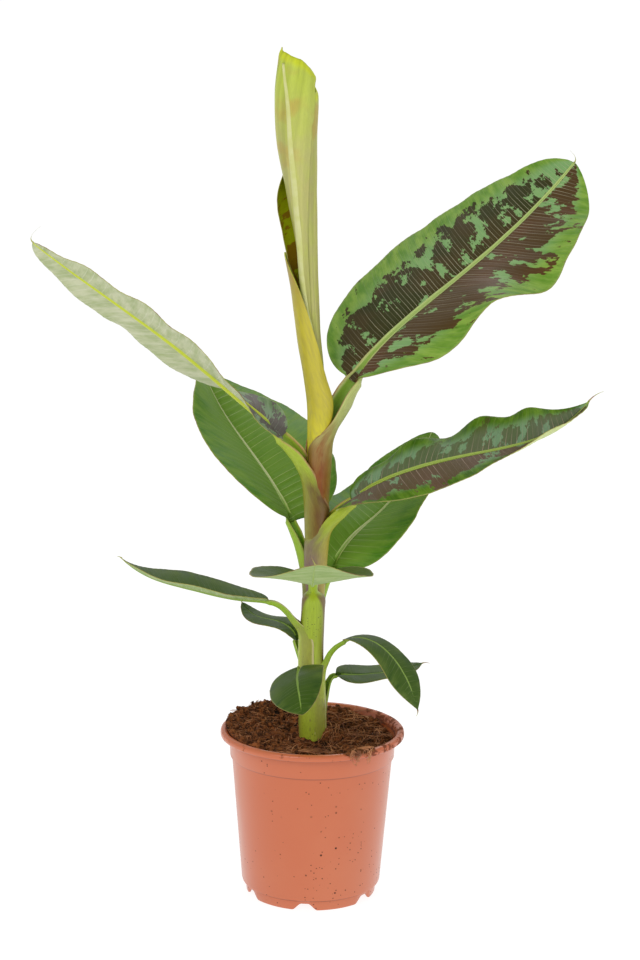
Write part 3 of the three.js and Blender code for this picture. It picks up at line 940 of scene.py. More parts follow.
@dataclass(frozen=True)
class Half:
    """One side of a blade: its outline and how it folds and curls from the rib outwards."""

    width: float
    fold: Tuple[float, ...]
    curl: Tuple[float, ...]
    widest: float
    point: float
    wave: Tuple[float, float, float] = (0.0, 0.0, 0.0)
    drawn_back: float = 0.0
    base_power: float = 2.5
    tip_power: float = 2.2

    def outline(self, share: float) -> float:
        """Outline of the half.

        Args:
            share: where along the blade, from 0 to 1.

        Returns:
            Share of the full half-width there.
        """
        if share < self.widest:
            return math.sqrt(max(0.0, 1 - ((self.widest - share) / self.widest) ** self.base_power))
        tip = ((share - self.widest) / (1 - self.widest)) ** self.tip_power
        return max(0.0, 1 - tip) ** self.point


SMALL_SPREAD = (95, 95, 95, 98, 102, 106, 108, 110, 112, 112, 112)
SMALL_FREE = (0, 0.1, 0.3, 0.6, 0.9, 1, 1, 1, 1, 1, 1)
BACK_SPREAD = (84, 90, 105, 125, 145, 155, 155, 148, 138, 125, 112)
FRONT_SPREAD = (168,) * 6 + (162, 138, 104, 90, 90, 98) + (110,) * 9
FRONT_FREE = (0,) * 7 + (0.06, 0.4, 0.86) + (1,) * 11


@dataclass(frozen=True)
class Stalk:
    """A leaf's stalk, and how its sheath opens in even steps from where it leaves the stem to the blade."""

    foot: float
    sink: float
    foot_radius: float
    neck_radius: float
    lift: float
    reach: float
    spread: Tuple[float, ...] = SMALL_SPREAD
    free: Tuple[float, ...] = SMALL_FREE
    wrap: float = 50.0
    depth: float = 1.0
    buried: float = -2.2
    proud: float = 0.9
    late_turn: float = 1.0


class Look(Enum):
    """How a leaf is coloured."""

    BLOTCHED = "blotched"
    PALE = "pale"
    FLECKED = "flecked"
    BROAD = "broad"
    OLD = "old"
    FRONT = "front"


@dataclass(frozen=True)
class Dress:
    """Finishes of one look."""

    face: BladeFinish
    back: UnderFinish
    stalk: StalkFinish


OLD_FACE = BladeFinish("leaf_old", "#2c4c08", "#586e28", "#3e5a10", "#98a866", 0.4, 0.6, 0.07, seed=47.0,
                       edge="#b3a860", roughness=0.42, gloss=0.2)
OLD_BACK = UnderFinish("leaf_old_back", "#8aa65c", "#a9bb7e", seed=47.0)
DRESSES = {
    Look.BLOTCHED: Dress(
        BladeFinish("leaf_blotched", "#5f8f28", "#8fb248", "#86b074", "#cfc8a4", 0.85, 0.5, 0.08, "#2f2702",
                    "#5a311d", 0.3, 0.8, 0.9, 0.035, seed=3.0, roughness=0.4, gloss=0.12),
        UnderFinish("leaf_blotched_back", "#8aa860", "#a6bd74", blotch_amount=0.2, seed=3.0),
        StalkFinish("stalk_blotched", "#a07832", "#a59a42", "#c2cb78", "#7aa814", "#bccf7c", "#c08c64",
                    "#8a3c00", 1.0)),
    Look.PALE: Dress(
        BladeFinish("leaf_pale", "#627f52", "#8fa57c", "#8aa084", "#b9c4b0", 0.35, 0.6, 0.08, "#4d4544",
                    "#6c6460", 0.27, 0.4, 0.7, seed=12.0, gloss=0.16),
        UnderFinish("leaf_pale_back", "#a3b07c", "#c6caa6", "#e3e6cf", 0.3, seed=11.0),
        StalkFinish("stalk_pale", "#87682a", "#9a9c30", "#b3c840", "#86a828", "#cad636", "#c99a6a",
                    "#6a4426", 0.9)),
    Look.FLECKED: Dress(
        BladeFinish("leaf_flecked", "#3c6408", "#6a9022", "#84a482", "#c8ac98", 0.8, 0.65, 0.08, "#4e4a1e",
                    "#6c5042", 0.31, 0.75, 1.0, 0.045, 0.66, seed=23.0, roughness=0.4, gloss=0.16),
        UnderFinish("leaf_flecked_back", "#b9c880", "#d2dc98", seed=23.0),
        StalkFinish("stalk_flecked", "#94805c", "#b0a024", "#aec030", "#7d9f22", "#a9c052", "#c98a55",
                    "#806260", 0.95)),
    Look.BROAD: Dress(
        BladeFinish("leaf_broad", "#477a16", "#739634", "#6a902c", "#c2cf88", 0.5, 0.95, 0.07, seed=31.0,
                    roughness=0.44, gloss=0.15),
        UnderFinish("leaf_broad_back", "#78a03a", "#90b250", seed=31.0),
        StalkFinish("stalk_broad", "#8a8a28", "#a0ae28", "#9cc02c", "#72a81a", "#ccd29c", "#b0b05c",
                    "#6f5a40", 0.3)),
    Look.OLD: Dress(OLD_FACE, OLD_BACK, StalkFinish(
        "stalk_old", "#a8b238", "#b6c830", "#94b824", "#749a18", "#8fac4c", "#d8cc96", "#7c6240",
        0.2, 0.22, specks=0.3)),
    Look.FRONT: Dress(OLD_FACE, OLD_BACK, StalkFinish(
        "stalk_front", "#8c8c34", "#aec624", "#a0c02c", "#749a18", "#8fac4c", "#e0d8a8", "#77553f",
        0.25, 0.85, 0.472, 0.036, 0.3)),
}


@dataclass
class Leaf:
    """One leaf: a sheath that wraps the stem, a channelled stalk, a rib and a folded blade."""

    name: str
    stalk: Stalk
    collar: Tuple[float, float, float]
    length: float
    bearing: float
    turn: float
    rise: Tuple[float, ...]
    roll: Tuple[float, ...]
    left: Half
    right: Half
    look: Look
    thread: Tuple[float, float, float] = (0.0, 0.0, 0.0)
    ripple: float = 1.0
    pleat: float = 0.3
    pitch: float = 8.0
    seed: float = 0.0
    thickness: float = 0.7
    crowding: float = 0.09
    tip_ease: float = 16.0
    row_step: float = 2.1
    vein_lag: float = 0.22
    vein_bend: float = 0.0022
    sheath_wall: float = 1.3

    def axes(self, share: float) -> Tuple[Vector, Vector, Vector]:
        """Directions on the rib.

        Args:
            share: where along it, from 0 to 1.

        Returns:
            Forward along the rib, up from the blade's face, and right.
        """
        bearing = self.bearing + self.turn * share
        forward = heading(along(self.rise, share), bearing)
        level = heading(along(self.rise, share) + 90, bearing)
        roll = math.radians(along(self.roll, share))
        up = level * math.cos(roll) + forward.cross(level) * math.sin(roll)
        return forward, up, forward.cross(up)

    def rib_line(self, rows: int) -> List[Row]:
        """Follows the rib from the blade's foot to its tip.

        Args:
            rows: steps along the blade.

        Returns:
            Share, place, forward, up and right at each row.
        """
        place = Vector(self.collar)
        last_share, last_forward = 0.0, self.axes(0.0)[0]
        line = []
        for i in range(rows + 1):
            t = i / rows
            share = t - self.crowding * math.sin(2 * math.pi * t)
            forward, up, right = self.axes(share)
            place = place + (last_forward + forward) / 2 * self.length * (share - last_share)
            last_share, last_forward = share, forward
            line.append((share, place.copy(), forward, up, right))
        return line

    def rib_radius(self, share: float) -> float:
        """Radius of the rib at a share of the blade's length."""
        neck = self.stalk.neck_radius
        return neck * (0.12 + 0.34 * (1 - share) ** 0.8 + 0.5 * math.exp(-share / 0.03))

    def half_points(self, row: Row, half: Half, side: int, columns: int) -> List[Vector]:
        """Points of one row from the rib out to a margin.

        Args:
            row: the row's share of the rib, place and directions.
            half: the side's outline, folds and waves.
            side: 1 to the right of the rib or -1 to its left.
            columns: steps out to the margin.

        Returns:
            Points in millimetres, with pleats along the veins and a wavy edge.
        """
        share, place, forward, up, right = row
        least = mix(self.stalk.neck_radius * 0.8, 0.8, share)
        edge = 1 + 0.02 * rough((share * 14, side, self.seed))
        width = max(half.width * half.outline(share) * edge, least)
        settle = 1 - min(max(share, 0.0), 1.0) ** self.tip_ease
        height, count, phase = half.wave
        wave = height * half.outline(share) * math.sin(2 * math.pi * (count * share + phase))
        rib = self.rib_radius(share)
        points, across, lift, inner = [], 0.0, 0.0, 0.0
        for j in range(columns + 1):
            v = j / columns
            far = width * v
            bend = along(half.fold, share) + along(half.curl, share) * (v + inner) / 2
            angle = math.radians(settle * bend)
            across += math.cos(angle) * width * (v - inner)
            lift += math.sin(angle) * width * (v - inner)
            inner = v
            normal = up * math.cos(angle) - right * side * math.sin(angle)
            run = self.sweep(share, far)
            loose = ease(0.0, 1.0, v) * ease(0.0, 0.12, share) * (1 - ease(0.94, 1.0, share))
            out_of_rib = ease(rib, 2.5 * rib + 2, far)
            pleat = self.pleat * math.sin(2 * math.pi * run / self.pitch) * out_of_rib * (1 - 0.6 * v)
            uneven = 2.6 * self.ripple * loose * rough((run / 34, far / 60, side + self.seed))
            dip = -0.8 * rib * max(0.0, 1 - (far / (1.15 * rib)) ** 2)
            back = half.drawn_back * v * (1 - ease(0.0, 0.3, share))
            points.append(place + right * side * across + up * (lift + wave * v * v + dip)
                          + normal * (pleat + uneven) - forward * back)
        return points

    def sweep(self, share: float, far: float) -> float:
        """Where the side vein through a point leaves the rib, in millimetres along it."""
        return share * self.length - self.vein_lag * far - self.vein_bend * far * far

    def blade(self) -> None:
        """Models the blade."""
        rows = max(60, int(self.length / self.row_step))
        half_columns = 26 if self.length > 200 else 16
        line, table = self.rib_line(rows), []
        for row in line:
            left = self.half_points(row, self.left, -1, half_columns)
            right = self.half_points(row, self.right, 1, half_columns)
            table.append(left[:0:-1] + right)

        def vein(i: int, j: int) -> Tuple[float, float]:
            """Centimetres along the rib, by the side vein, and out from it."""
            share, v = line[i][0], (j - half_columns) / half_columns
            half = self.left if v < 0 else self.right
            far = abs(v) * max(half.width * half.outline(share), 1.0)
            return self.sweep(share, far) / 10, math.copysign(far / 10, v)

        sheet = Sheet(rows, 2 * half_columns, lambda i, j: table[i][j])
        sheet.map("leaf", lambda i, j: (line[i][0], j / (2 * half_columns)))
        sheet.map("vein", vein)
        dress = DRESSES[self.look]
        obj = piece(f"{self.name}_blade", sheet.finish(), [dress.face, dress.back, RimFinish()],
                    [f"blade_{self.name}"])
        thicken(obj, self.thickness, 1, 2)

    def stalk_curve(self, stem: Stem) -> Callable[[float], Tuple[Vector, Vector, Vector]]:
        """Path of the stalk.

        Args:
            stem: the stem that it leaves.

        Returns:
            A function of the share along it, which gives place, forward and the outward direction.
        """
        forward, up, _ = self.axes(0.0)
        spec = self.stalk
        end = Vector(self.collar) - up * spec.neck_radius * 0.5
        centre = stem.centre(spec.foot)
        out = ((end - centre) * Vector((1, 1, 0))).normalized()
        start = centre + out * (stem.half_width(spec.foot) - spec.sink)
        length = (end - start).length
        a, b = start, start + UP * length * spec.lift
        c, d = end - forward * length * spec.reach, end

        def at(s: float) -> Tuple[Vector, Vector, Vector]:
            """Place, forward and outward direction at a share of the stalk."""
            r = 1 - s
            place = a * r ** 3 + b * 3 * r * r * s + c * 3 * r * s * s + d * s ** 3
            direction = (b - a) * r * r + (c - b) * 2 * r * s + (d - c) * s * s
            return place, direction.normalized(), out

        return at

    def run_frames(self, stem: Stem) -> List[Section]:
        """Sections of sheath, stalk and rib in one run.

        Args:
            stem: the stem that the sheath wraps.

        Returns:
            Place along the run, centre, up, forward, radius, half-angle, wall share and depth of each.
        """
        spec, sections = self.stalk, []
        at = self.stalk_curve(stem)
        neck_up = self.axes(0.0)[1]
        bottom = max(spec.foot - spec.wrap, stem.foot - 1)
        sheath_rows, stalk_rows, rib_rows = 20, 60, 70
        out = at(0.0)[2]
        span = spec.wrap + 40
        for i in range(sheath_rows):
            z = mix(bottom, spec.foot, i / sheath_rows)
            radius = stem.half_width(z) + mix(spec.buried, spec.proud, (z - bottom) / span)
            sections.append((i / sheath_rows / 3, stem.centre(z), -out, UP, radius,
                             along(spec.spread, 0.0), self.sheath_wall / radius, 1.0))
        for i in range(stalk_rows + 1):
            s = i / stalk_rows
            place, forward, _ = at(s)
            free = min(max(along(spec.free, s), 0.0), 1.0)
            layer = mix(spec.buried, spec.proud, min(1.0, (place.z - bottom) / span))
            around = stem.half_width(place.z) + layer
            radius = mix(around, mix(spec.foot_radius, spec.neck_radius, math.sqrt(s)), free)
            centre = stem.centre(place.z).lerp(place, free)
            tilt = UP.lerp(forward, free ** spec.late_turn).normalized()
            wall = mix(self.sheath_wall / around, 0.5, ease(0.2, 1.0, s) * free)
            depth = mix(1.0, spec.depth, free * ease(1.0, 0.8, s))
            sections.append(((1 + s) / 3, centre, (-out).lerp(neck_up, s * free), tilt, radius,
                             along(spec.spread, s), wall, depth))
        for share, place, forward, up, _ in self.rib_line(rib_rows)[1:]:
            radius, settled = self.rib_radius(share), ease(0.0, 0.1, share)
            centre = place - up * radius * mix(0.5, -0.1, settled)
            spread = mix(112, 101, ease(0, 0.08, share))
            sections.append(((2 + share) / 3, centre, up, forward, radius, spread, mix(0.5, 0.8, settled),
                             mix(1.0, 1.5, settled)))
        return sections

    def stalk_piece(self, stem: Stem) -> None:
        """Models sheath, stalk and rib as one channel that tapers to the tip.

        Args:
            stem: the stem that the sheath wraps.
        """
        sections, steps = self.run_frames(stem), 24
        frames = []
        for run, centre, up, forward, radius, angle, wall, depth in sections:
            up = (up - forward * up.dot(forward)).normalized()
            frames.append((run, centre, up, forward.cross(up), radius, angle, wall, depth))

        def place(i: int, j: int) -> Vector:
            """Point of the channel, first over its outside and then back over its inside."""
            run, centre, up, right, radius, angle, wall, depth = frames[i]
            k = j % (2 * steps + 2)
            outer = k <= steps
            share = 2 * k / steps - 1 if outer else 1 - 2 * (k - steps - 1) / steps
            turn = math.radians(angle * share)
            reach = radius
            if outer:
                reach += 0.15 * math.sin(17 * turn + 9 * run) * ease(0.9, 0.5, run)
                reach += 0.5 * rough((run * 30, share * 2, self.seed)) * (0.2 + abs(share) ** 4)
            else:
                reach *= 1 - wall * mix(1.0, 0.4, share ** 4)
            sag = reach * math.cos(turn)
            return centre - up * (sag * depth if sag > 0 else sag) + right * reach * math.sin(turn)

        total = 2 * steps + 2
        sheet = Sheet(len(frames) - 1, total, place, closed=True)
        sheet.map("stalk", lambda i, j: (frames[i][0], j / total))
        piece(f"{self.name}_stalk", sheet.finish(caps=True), [DRESSES[self.look].stalk],
              [f"stalk_{self.name}"])

    def tip_thread(self) -> None:
        """Models the dry thread at the leaf's tip, if it has one."""
        if Vector(self.thread).length == 0:
            return
        _, tip, forward, up, _ = self.rib_line(60)[-1]
        bend = tip + forward * Vector(self.thread).length * 0.5
        end = tip + Vector(self.thread)
        rows, columns = 14, 6

        def place(i: int, j: int) -> Vector:
            """Point of the thread's skin."""
            s = i / rows
            centre = tip.lerp(bend, s).lerp(bend.lerp(end, s), s)
            turn = 2 * math.pi * j / columns
            radius = mix(1.1, 0.22, s ** 0.5)
            side = forward.cross(up)
            return centre + (up * math.cos(turn) + side * math.sin(turn)) * radius

        sheet = Sheet(rows, columns, place, closed=True)
        finish = RimFinish("tip_thread", "#a9ab52", "#9a6f4a")
        piece(f"{self.name}_thread", sheet.finish(caps=True), [finish])

    def build(self, stem: Stem) -> None:
        """Models the whole leaf."""
        self.blade()
        self.stalk_piece(stem)
        self.tip_thread()


LEAVES = [
    Leaf("upper_right", Stalk(476, 10, 14, 11, 0.45, 0.4,
                              (172, 172, 172, 171, 148, 114, 98, 102, 110, 114, 112),
                              (0, 0, 0, 0, 0.15, 0.45, 0.75, 0.95, 1, 1, 1), 80, 1.6),
         (39, 18, 597), 393, 38, -4, (42, 30, 34, 44), (10, 10, 30),
         Half(111, (10, 15, -5), (-25,), 0.45, 0.55),
         Half(102, (15, 10, 0), (-15,), 0.5, 0.75, (14, 2.5, -0.7)),
         Look.BLOTCHED, (-6, 0, 14), 1.2, 0.35, 9.0, 1.0),
    Leaf("upper_left", Stalk(436, 9, 12, 8.8, 0.45, 0.4,
                             (168, 150, 116, 104, 108, 118, 128, 134, 134, 126, 112),
                             (0, 0, 0.15, 0.35, 0.6, 0.8, 0.95, 1, 1, 1, 1), 80, 1.1),
         (-35, -22, 538), 359, 199, -1, (41, 40, 36, 38), (-45, 5, 15, 20, 25),
         Half(49, (20, -5, 0, 0, 0), (0,), 0.41, 0.8, (1.8, 5, 0)),
         Half(49, (45, -5, -5, -5, -10), (-5,), 0.42, 0.55, (2.6, 3.5, 0.15), base_power=1.7),
         Look.PALE, (8, 0, 17), 1.3, 0.4, 9.0, 2.0),
    Leaf("middle_right", Stalk(376, 9, 12, 7.8, 0.45, 0.4,
                               (172, 172, 172, 168, 140, 112, 108, 122, 130, 124, 112),
                               (0, 0, 0, 0.05, 0.2, 0.45, 0.7, 0.9, 1, 1, 1), 80, 1.1),
         (39, -8, 464), 293, -4, -2, (36, 17, 16, 54), (10, 25, 55),
         Half(49, (20, 10, 40), (-10,), 0.52, 1.2, (6, 4, 0.1)),
         Half(52, (10, -5, 10, 35, 65), (5, -10, 0, 30, 45), 0.41, 0.9, drawn_back=20),
         Look.FLECKED, (16, 0, 11), 1.0, 0.35, 8.0, 3.0),
    Leaf("back_left", Stalk(330, 7, 10, 6.5, 0.45, 0.35, BACK_SPREAD),
         (-26, 25, 432), 244, 119, 8, (39, 29, 32, 54), (10, 5, 20),
         Half(83, (25, 30, 40), (-20,), 0.5, 0.6), Half(97, (15, 25, 25), (-25,), 0.5, 0.6),
         Look.BROAD, (0, 0, 0), 0.8, 0.35, 10.0, 4.0),
    Leaf("back_right", Stalk(300, 7, 10, 6, 0.45, 0.35, BACK_SPREAD),
         (19, 25, 377), 229, 50, 1, (48, 20, 40, 47), (30, 0, -5),
         Half(62, (25, 15, 10), (-10,), 0.47, 0.65), Half(63, (10, 20, 20), (-10,), 0.47, 0.65),
         Look.BROAD, (0, 0, 0), 0.8, 0.35, 9.0, 5.0),
    Leaf("front", Stalk(268, 2, 6, 4.8, 0.9, 0.12, FRONT_SPREAD, FRONT_FREE, 92, buried=-0.3,
                        late_turn=4.0),
         (-1, -48, 383), 218, 269, 3, (-1, 16, 25, 22), (0, 0, 5),
         Half(66, (32, 10, -3, -16), (-12, 10, 6, -4), 0.45, 0.75),
         Half(69, (30, 10, -2, -11), (-12, 8, 6, 0), 0.45, 0.75),
         Look.FRONT, (-4, 0, 8), 0.6, 0.25, 8.0, 6.0),
    Leaf("lower_left", Stalk(294, 3, 8.5, 4, 0.3, 0.3, wrap=108, buried=1.0, proud=2.2),
         (-51, -5, 345), 178, 186, 5, (-2, 14, 18, 46), (5, 0, 5),
         Half(26, (25, 25, 15), (-10,), 0.45, 0.8), Half(39, (20, 20, 10), (-10,), 0.45, 0.8),
         Look.OLD, (-5, 0, 2), 0.5, 0.25, 7.0, 7.0),
    Leaf("drooping_right", Stalk(240, 4, 7.5, 3.6, 0.45, 0.35, wrap=60, buried=1.1, proud=1.7),
         (34, -8, 300), 131, -16, -2, (26, -30, -59, -75), (-5, 10, 25),
         Half(25, (5, 0, 15), (-10,), 0.53, 1.05), Half(28, (15, 0, 5), (-15,), 0.53, 1.05),
         Look.OLD, (-2, 0, -8), 0.5, 0.2, 6.0, 8.0),
    Leaf("small_left", Stalk(250, 4, 6.5, 3.6, 0.4, 0.35, wrap=64, buried=0.6, proud=1.4),
         (-19, 14, 293), 89, 148, -4, (71, 10, 5, 54), (0, 0, 5),
         Half(22, (20, 5, 10), (-15,), 0.46, 0.7), Half(27, (20, 5, 5), (-20,), 0.46, 0.7),
         Look.OLD, (-2, 0, 5), 0.4, 0.2, 6.0, 9.0),
    Leaf("small_front", Stalk(226, 4, 8, 3.6, 0.45, 0.35, wrap=50, buried=1.3, proud=2.0),
         (-15, -38, 277), 112, 263, 19, (-3, 1, -19, -41), (10, 20, 15),
         Half(32, (5, 5, 5), (0,), 0.42, 0.7), Half(36, (0, -5, -5), (-20,), 0.42, 0.7),
         Look.OLD, (0, 0, 0), 0.4, 0.2, 6.0, 10.0),
    Leaf("small_right", Stalk(186, 0, 4.4, 3.4, 0.65, 0.2, wrap=8, buried=-0.4),
         (27, 12, 254), 109, 23, 1, (-11, -3, 4, 14), (15, 5, 10),
         Half(25, (15, 10, 10), (-15,), 0.38, 0.85), Half(24, (5, 15, 5), (-20,), 0.38, 0.85),
         Look.OLD, (9, 0, 0), 0.5, 0.2, 6.0, 11.0),
]


# Rolled leaf

@dataclass
class Spear:
    """The youngest leaf, still rolled up, with its rib as a pale band and a loose flap round its foot."""

    foot: float = 552.0
    top: float = 962.0
    centre_line: Tuple[float, ...] = (2, 0.2, -4.6, -8.7, -13.2, -18.8, -24.2, -25, -27)
    radius: Tuple[float, ...] = (8, 9.2, 9.4, 10.6, 13.3, 18.2, 23.1, 24.8, 18.5)
    rim: Tuple[float, ...] = (925, 925, 920, 914, 917, 932, 948, 958, 960, 957.5, 952.5, 948, 937)
    free_edge: Tuple[float, ...] = (255, 258, 262, 268, 277, 295, 310, 318, 345)
    band_bearings: Tuple[float, ...] = (270, 260, 235, 213, 230, 245, 251, 244, 220)
    turn: float = 468.0
    pitch: float = 2.2
    flap_foot: float = 505.0
    flap_top: float = 737.0
    flap_line: Tuple[float, ...] = (2.9, 3.2, 4, -2.8, -7.1, -10.9, -14.1, -18)
    flap_radius: Tuple[float, ...] = (12.9, 12.4, 14.3, 12.2, 13.9, 14.7, 16.4, 19)
    flap_rim: Tuple[float, ...] = (640, 690, 722, 736, 738, 724, 704, 676, 641, 615, 600)
    flap_first: float = 60.0
    lobe_foot: float = 690.0
    lobe_top: float = 825.0
    lobe_edge: Tuple[float, ...] = (-18.5, -25.5, -32.5, -37, -41, -45, -45, -39.5)

    def section(self, z: float) -> Tuple[Vector, float]:
        """Centre and radius of the roll at a height."""
        share = (z - self.foot) / (self.top - self.foot)
        return Vector((along(self.centre_line, share), 0, z)), along(self.radius, share)

    def flap_section(self, z: float) -> Tuple[Vector, float]:
        """Centre and radius of the flap at a height."""
        share = (z - self.flap_foot) / (self.flap_top - self.flap_foot)
        return Vector((along(self.flap_line, share), 0, z)), along(self.flap_radius, share)

    def roll(self) -> None:
        """Models the rolled blade: a sheet wound a little over once, loose at its upper free edge."""
        rows, columns = 170, 150

        def place(i: int, j: int) -> Vector:
            """Point of the rolled sheet, up from its foot and round from its inner edge."""
            share = j / columns
            ragged = 1.3 * rough((share * 30, 0.3, 0.7))
            tip = 3.0 * math.exp(-((share - 0.69) / 0.012) ** 2)
            z = mix(self.foot - 20, along(self.rim, share) + ragged + tip, i / rows)
            centre, radius = self.section(z)
            open_edge = along(self.free_edge, (z - self.foot) / (self.top - self.foot))
            edge = ease(0.93, 1.0, share)
            loose = ease(800, 930, z)
            radius -= self.pitch * self.turn / 360 * (1 - share)
            radius += edge * (0.3 + 1.8 * loose * (0.4 + rough((z / 11, 0, 5.0))))
            radius += 0.6 * rough((share * 14, z / 45, 2.0))
            radius -= 2.0 * ease(0.985, 1.0, i / rows)
            shift = 5.0 * loose * rough((z / 13, 3.3, 0.0)) * edge
            return centre + heading(0, open_edge + self.turn * (share - 1) + shift) * radius

        sheet = Sheet(rows, columns, place)
        sheet.map("stalk")
        finishes = [SpearFinish(), SpearFinish("spear_face", "#a9b85a", "#b9c832", "#8a9440"),
                    RimFinish("spear_margin", "#c9d03c", "#b9a040")]
        thicken(piece("spear_roll", sheet.finish(), finishes, ["spear"]), 0.8, 1, 2)

    def band(self) -> None:
        """Models the rib, which shows as a pale band down the roll."""
        rows, columns = 120, 14

        def place(i: int, j: int) -> Vector:
            """Point of the raised band."""
            s = i / rows
            z = mix(self.foot + 10, self.top - 16, s)
            centre, radius = self.section(z)
            bearing = along(self.band_bearings, (z - self.foot) / (self.top - self.foot))
            width = mix(6.6, 1.5, s ** 1.3)
            across = 2 * j / columns - 1
            lift = 2.6 * (1 - across * across) * mix(1.0, 0.6, s) - 0.3
            return centre + heading(0, bearing + math.degrees(across * width / radius)) * (radius + lift)

        sheet = Sheet(rows, columns, place)
        sheet.map("stalk", lambda i, j: (0.8, j / columns))
        finish = PlainFinish("spear_rib", "#d8d898", "#cdd07c", 0.5)
        thicken(piece("spear_rib", sheet.finish(), [finish]), 0.5)

    def flap(self) -> None:
        """Models the loose margin that wraps the foot of the roll, with its slanting edge."""
        rows, columns = 100, 100

        def place(i: int, j: int) -> Vector:
            """Point of the flap."""
            share = j / columns
            ragged = 0.8 * rough((share * 18, 0.9, 0.2))
            z = mix(self.flap_foot, along(self.flap_rim, share) + ragged, i / rows)
            centre, radius = self.flap_section(z)
            radius += 0.35 * rough((share * 12, z / 40, 4.0))
            return centre + heading(0, mix(self.flap_first, 360, share)) * radius

        sheet = Sheet(rows, columns, place)
        sheet.map("stalk")
        finish = SpearFinish("spear_flap", "#d0c23a", "#b0a24a", "#e2d72c", "#eae036", low=0.50, high=0.74,
                             tip_share=0.0, streak_relief_and_fold_shade=0.03)
        thicken(piece("spear_flap", sheet.finish(), [
            finish, SpearFinish("spear_face"), RimFinish("spear_margin")]), 0.9, 1, 2)

    def lobe(self) -> None:
        """Models the stretch of unrolled margin at the left that shows its dark green face."""
        rows, columns = 80, 30

        def place(i: int, j: int) -> Vector:
            """Point of the unrolled margin, from its free edge back to the roll."""
            s = i / rows
            z = mix(self.lobe_foot, self.lobe_top, s)
            centre, radius = self.section(z)
            edge = along(self.lobe_edge, s) + 0.4 * rough((z / 12, 0, 8.0))
            turn = math.radians(90 * j / columns)
            x = centre.x - (centre.x - edge) * math.cos(turn)
            return Vector((x, (radius + 1.4) * math.sin(turn), z))

        sheet = Sheet(rows, columns, place)
        sheet.map("leaf", lambda i, j: (0.5, 0.5 + 0.35 * j / columns))
        sheet.map("vein", lambda i, j: (i / rows * 13.5 - j / columns * 1.6, 0.3 + j / columns * 2.4))
        face = BladeFinish("spear_lobe", "#828200", "#a4b00a", "#9aa608", "#8a8a1c", 0.3, 0.7, 0.1,
                           "#6e5200", "#86640c", 0.2, 0.2, 1.3, seed=5.0, gloss=0.2)
        back = UnderFinish("spear_lobe_back", "#9aa050", "#b0b468")
        thicken(piece("spear_lobe", sheet.finish(), [face, back, RimFinish()]), 0.7, 1, 2)

    def build(self) -> None:
        """Models the rolled leaf."""
        self.roll()
        self.band()
        self.flap()
        self.lobe()


# Pot and soil

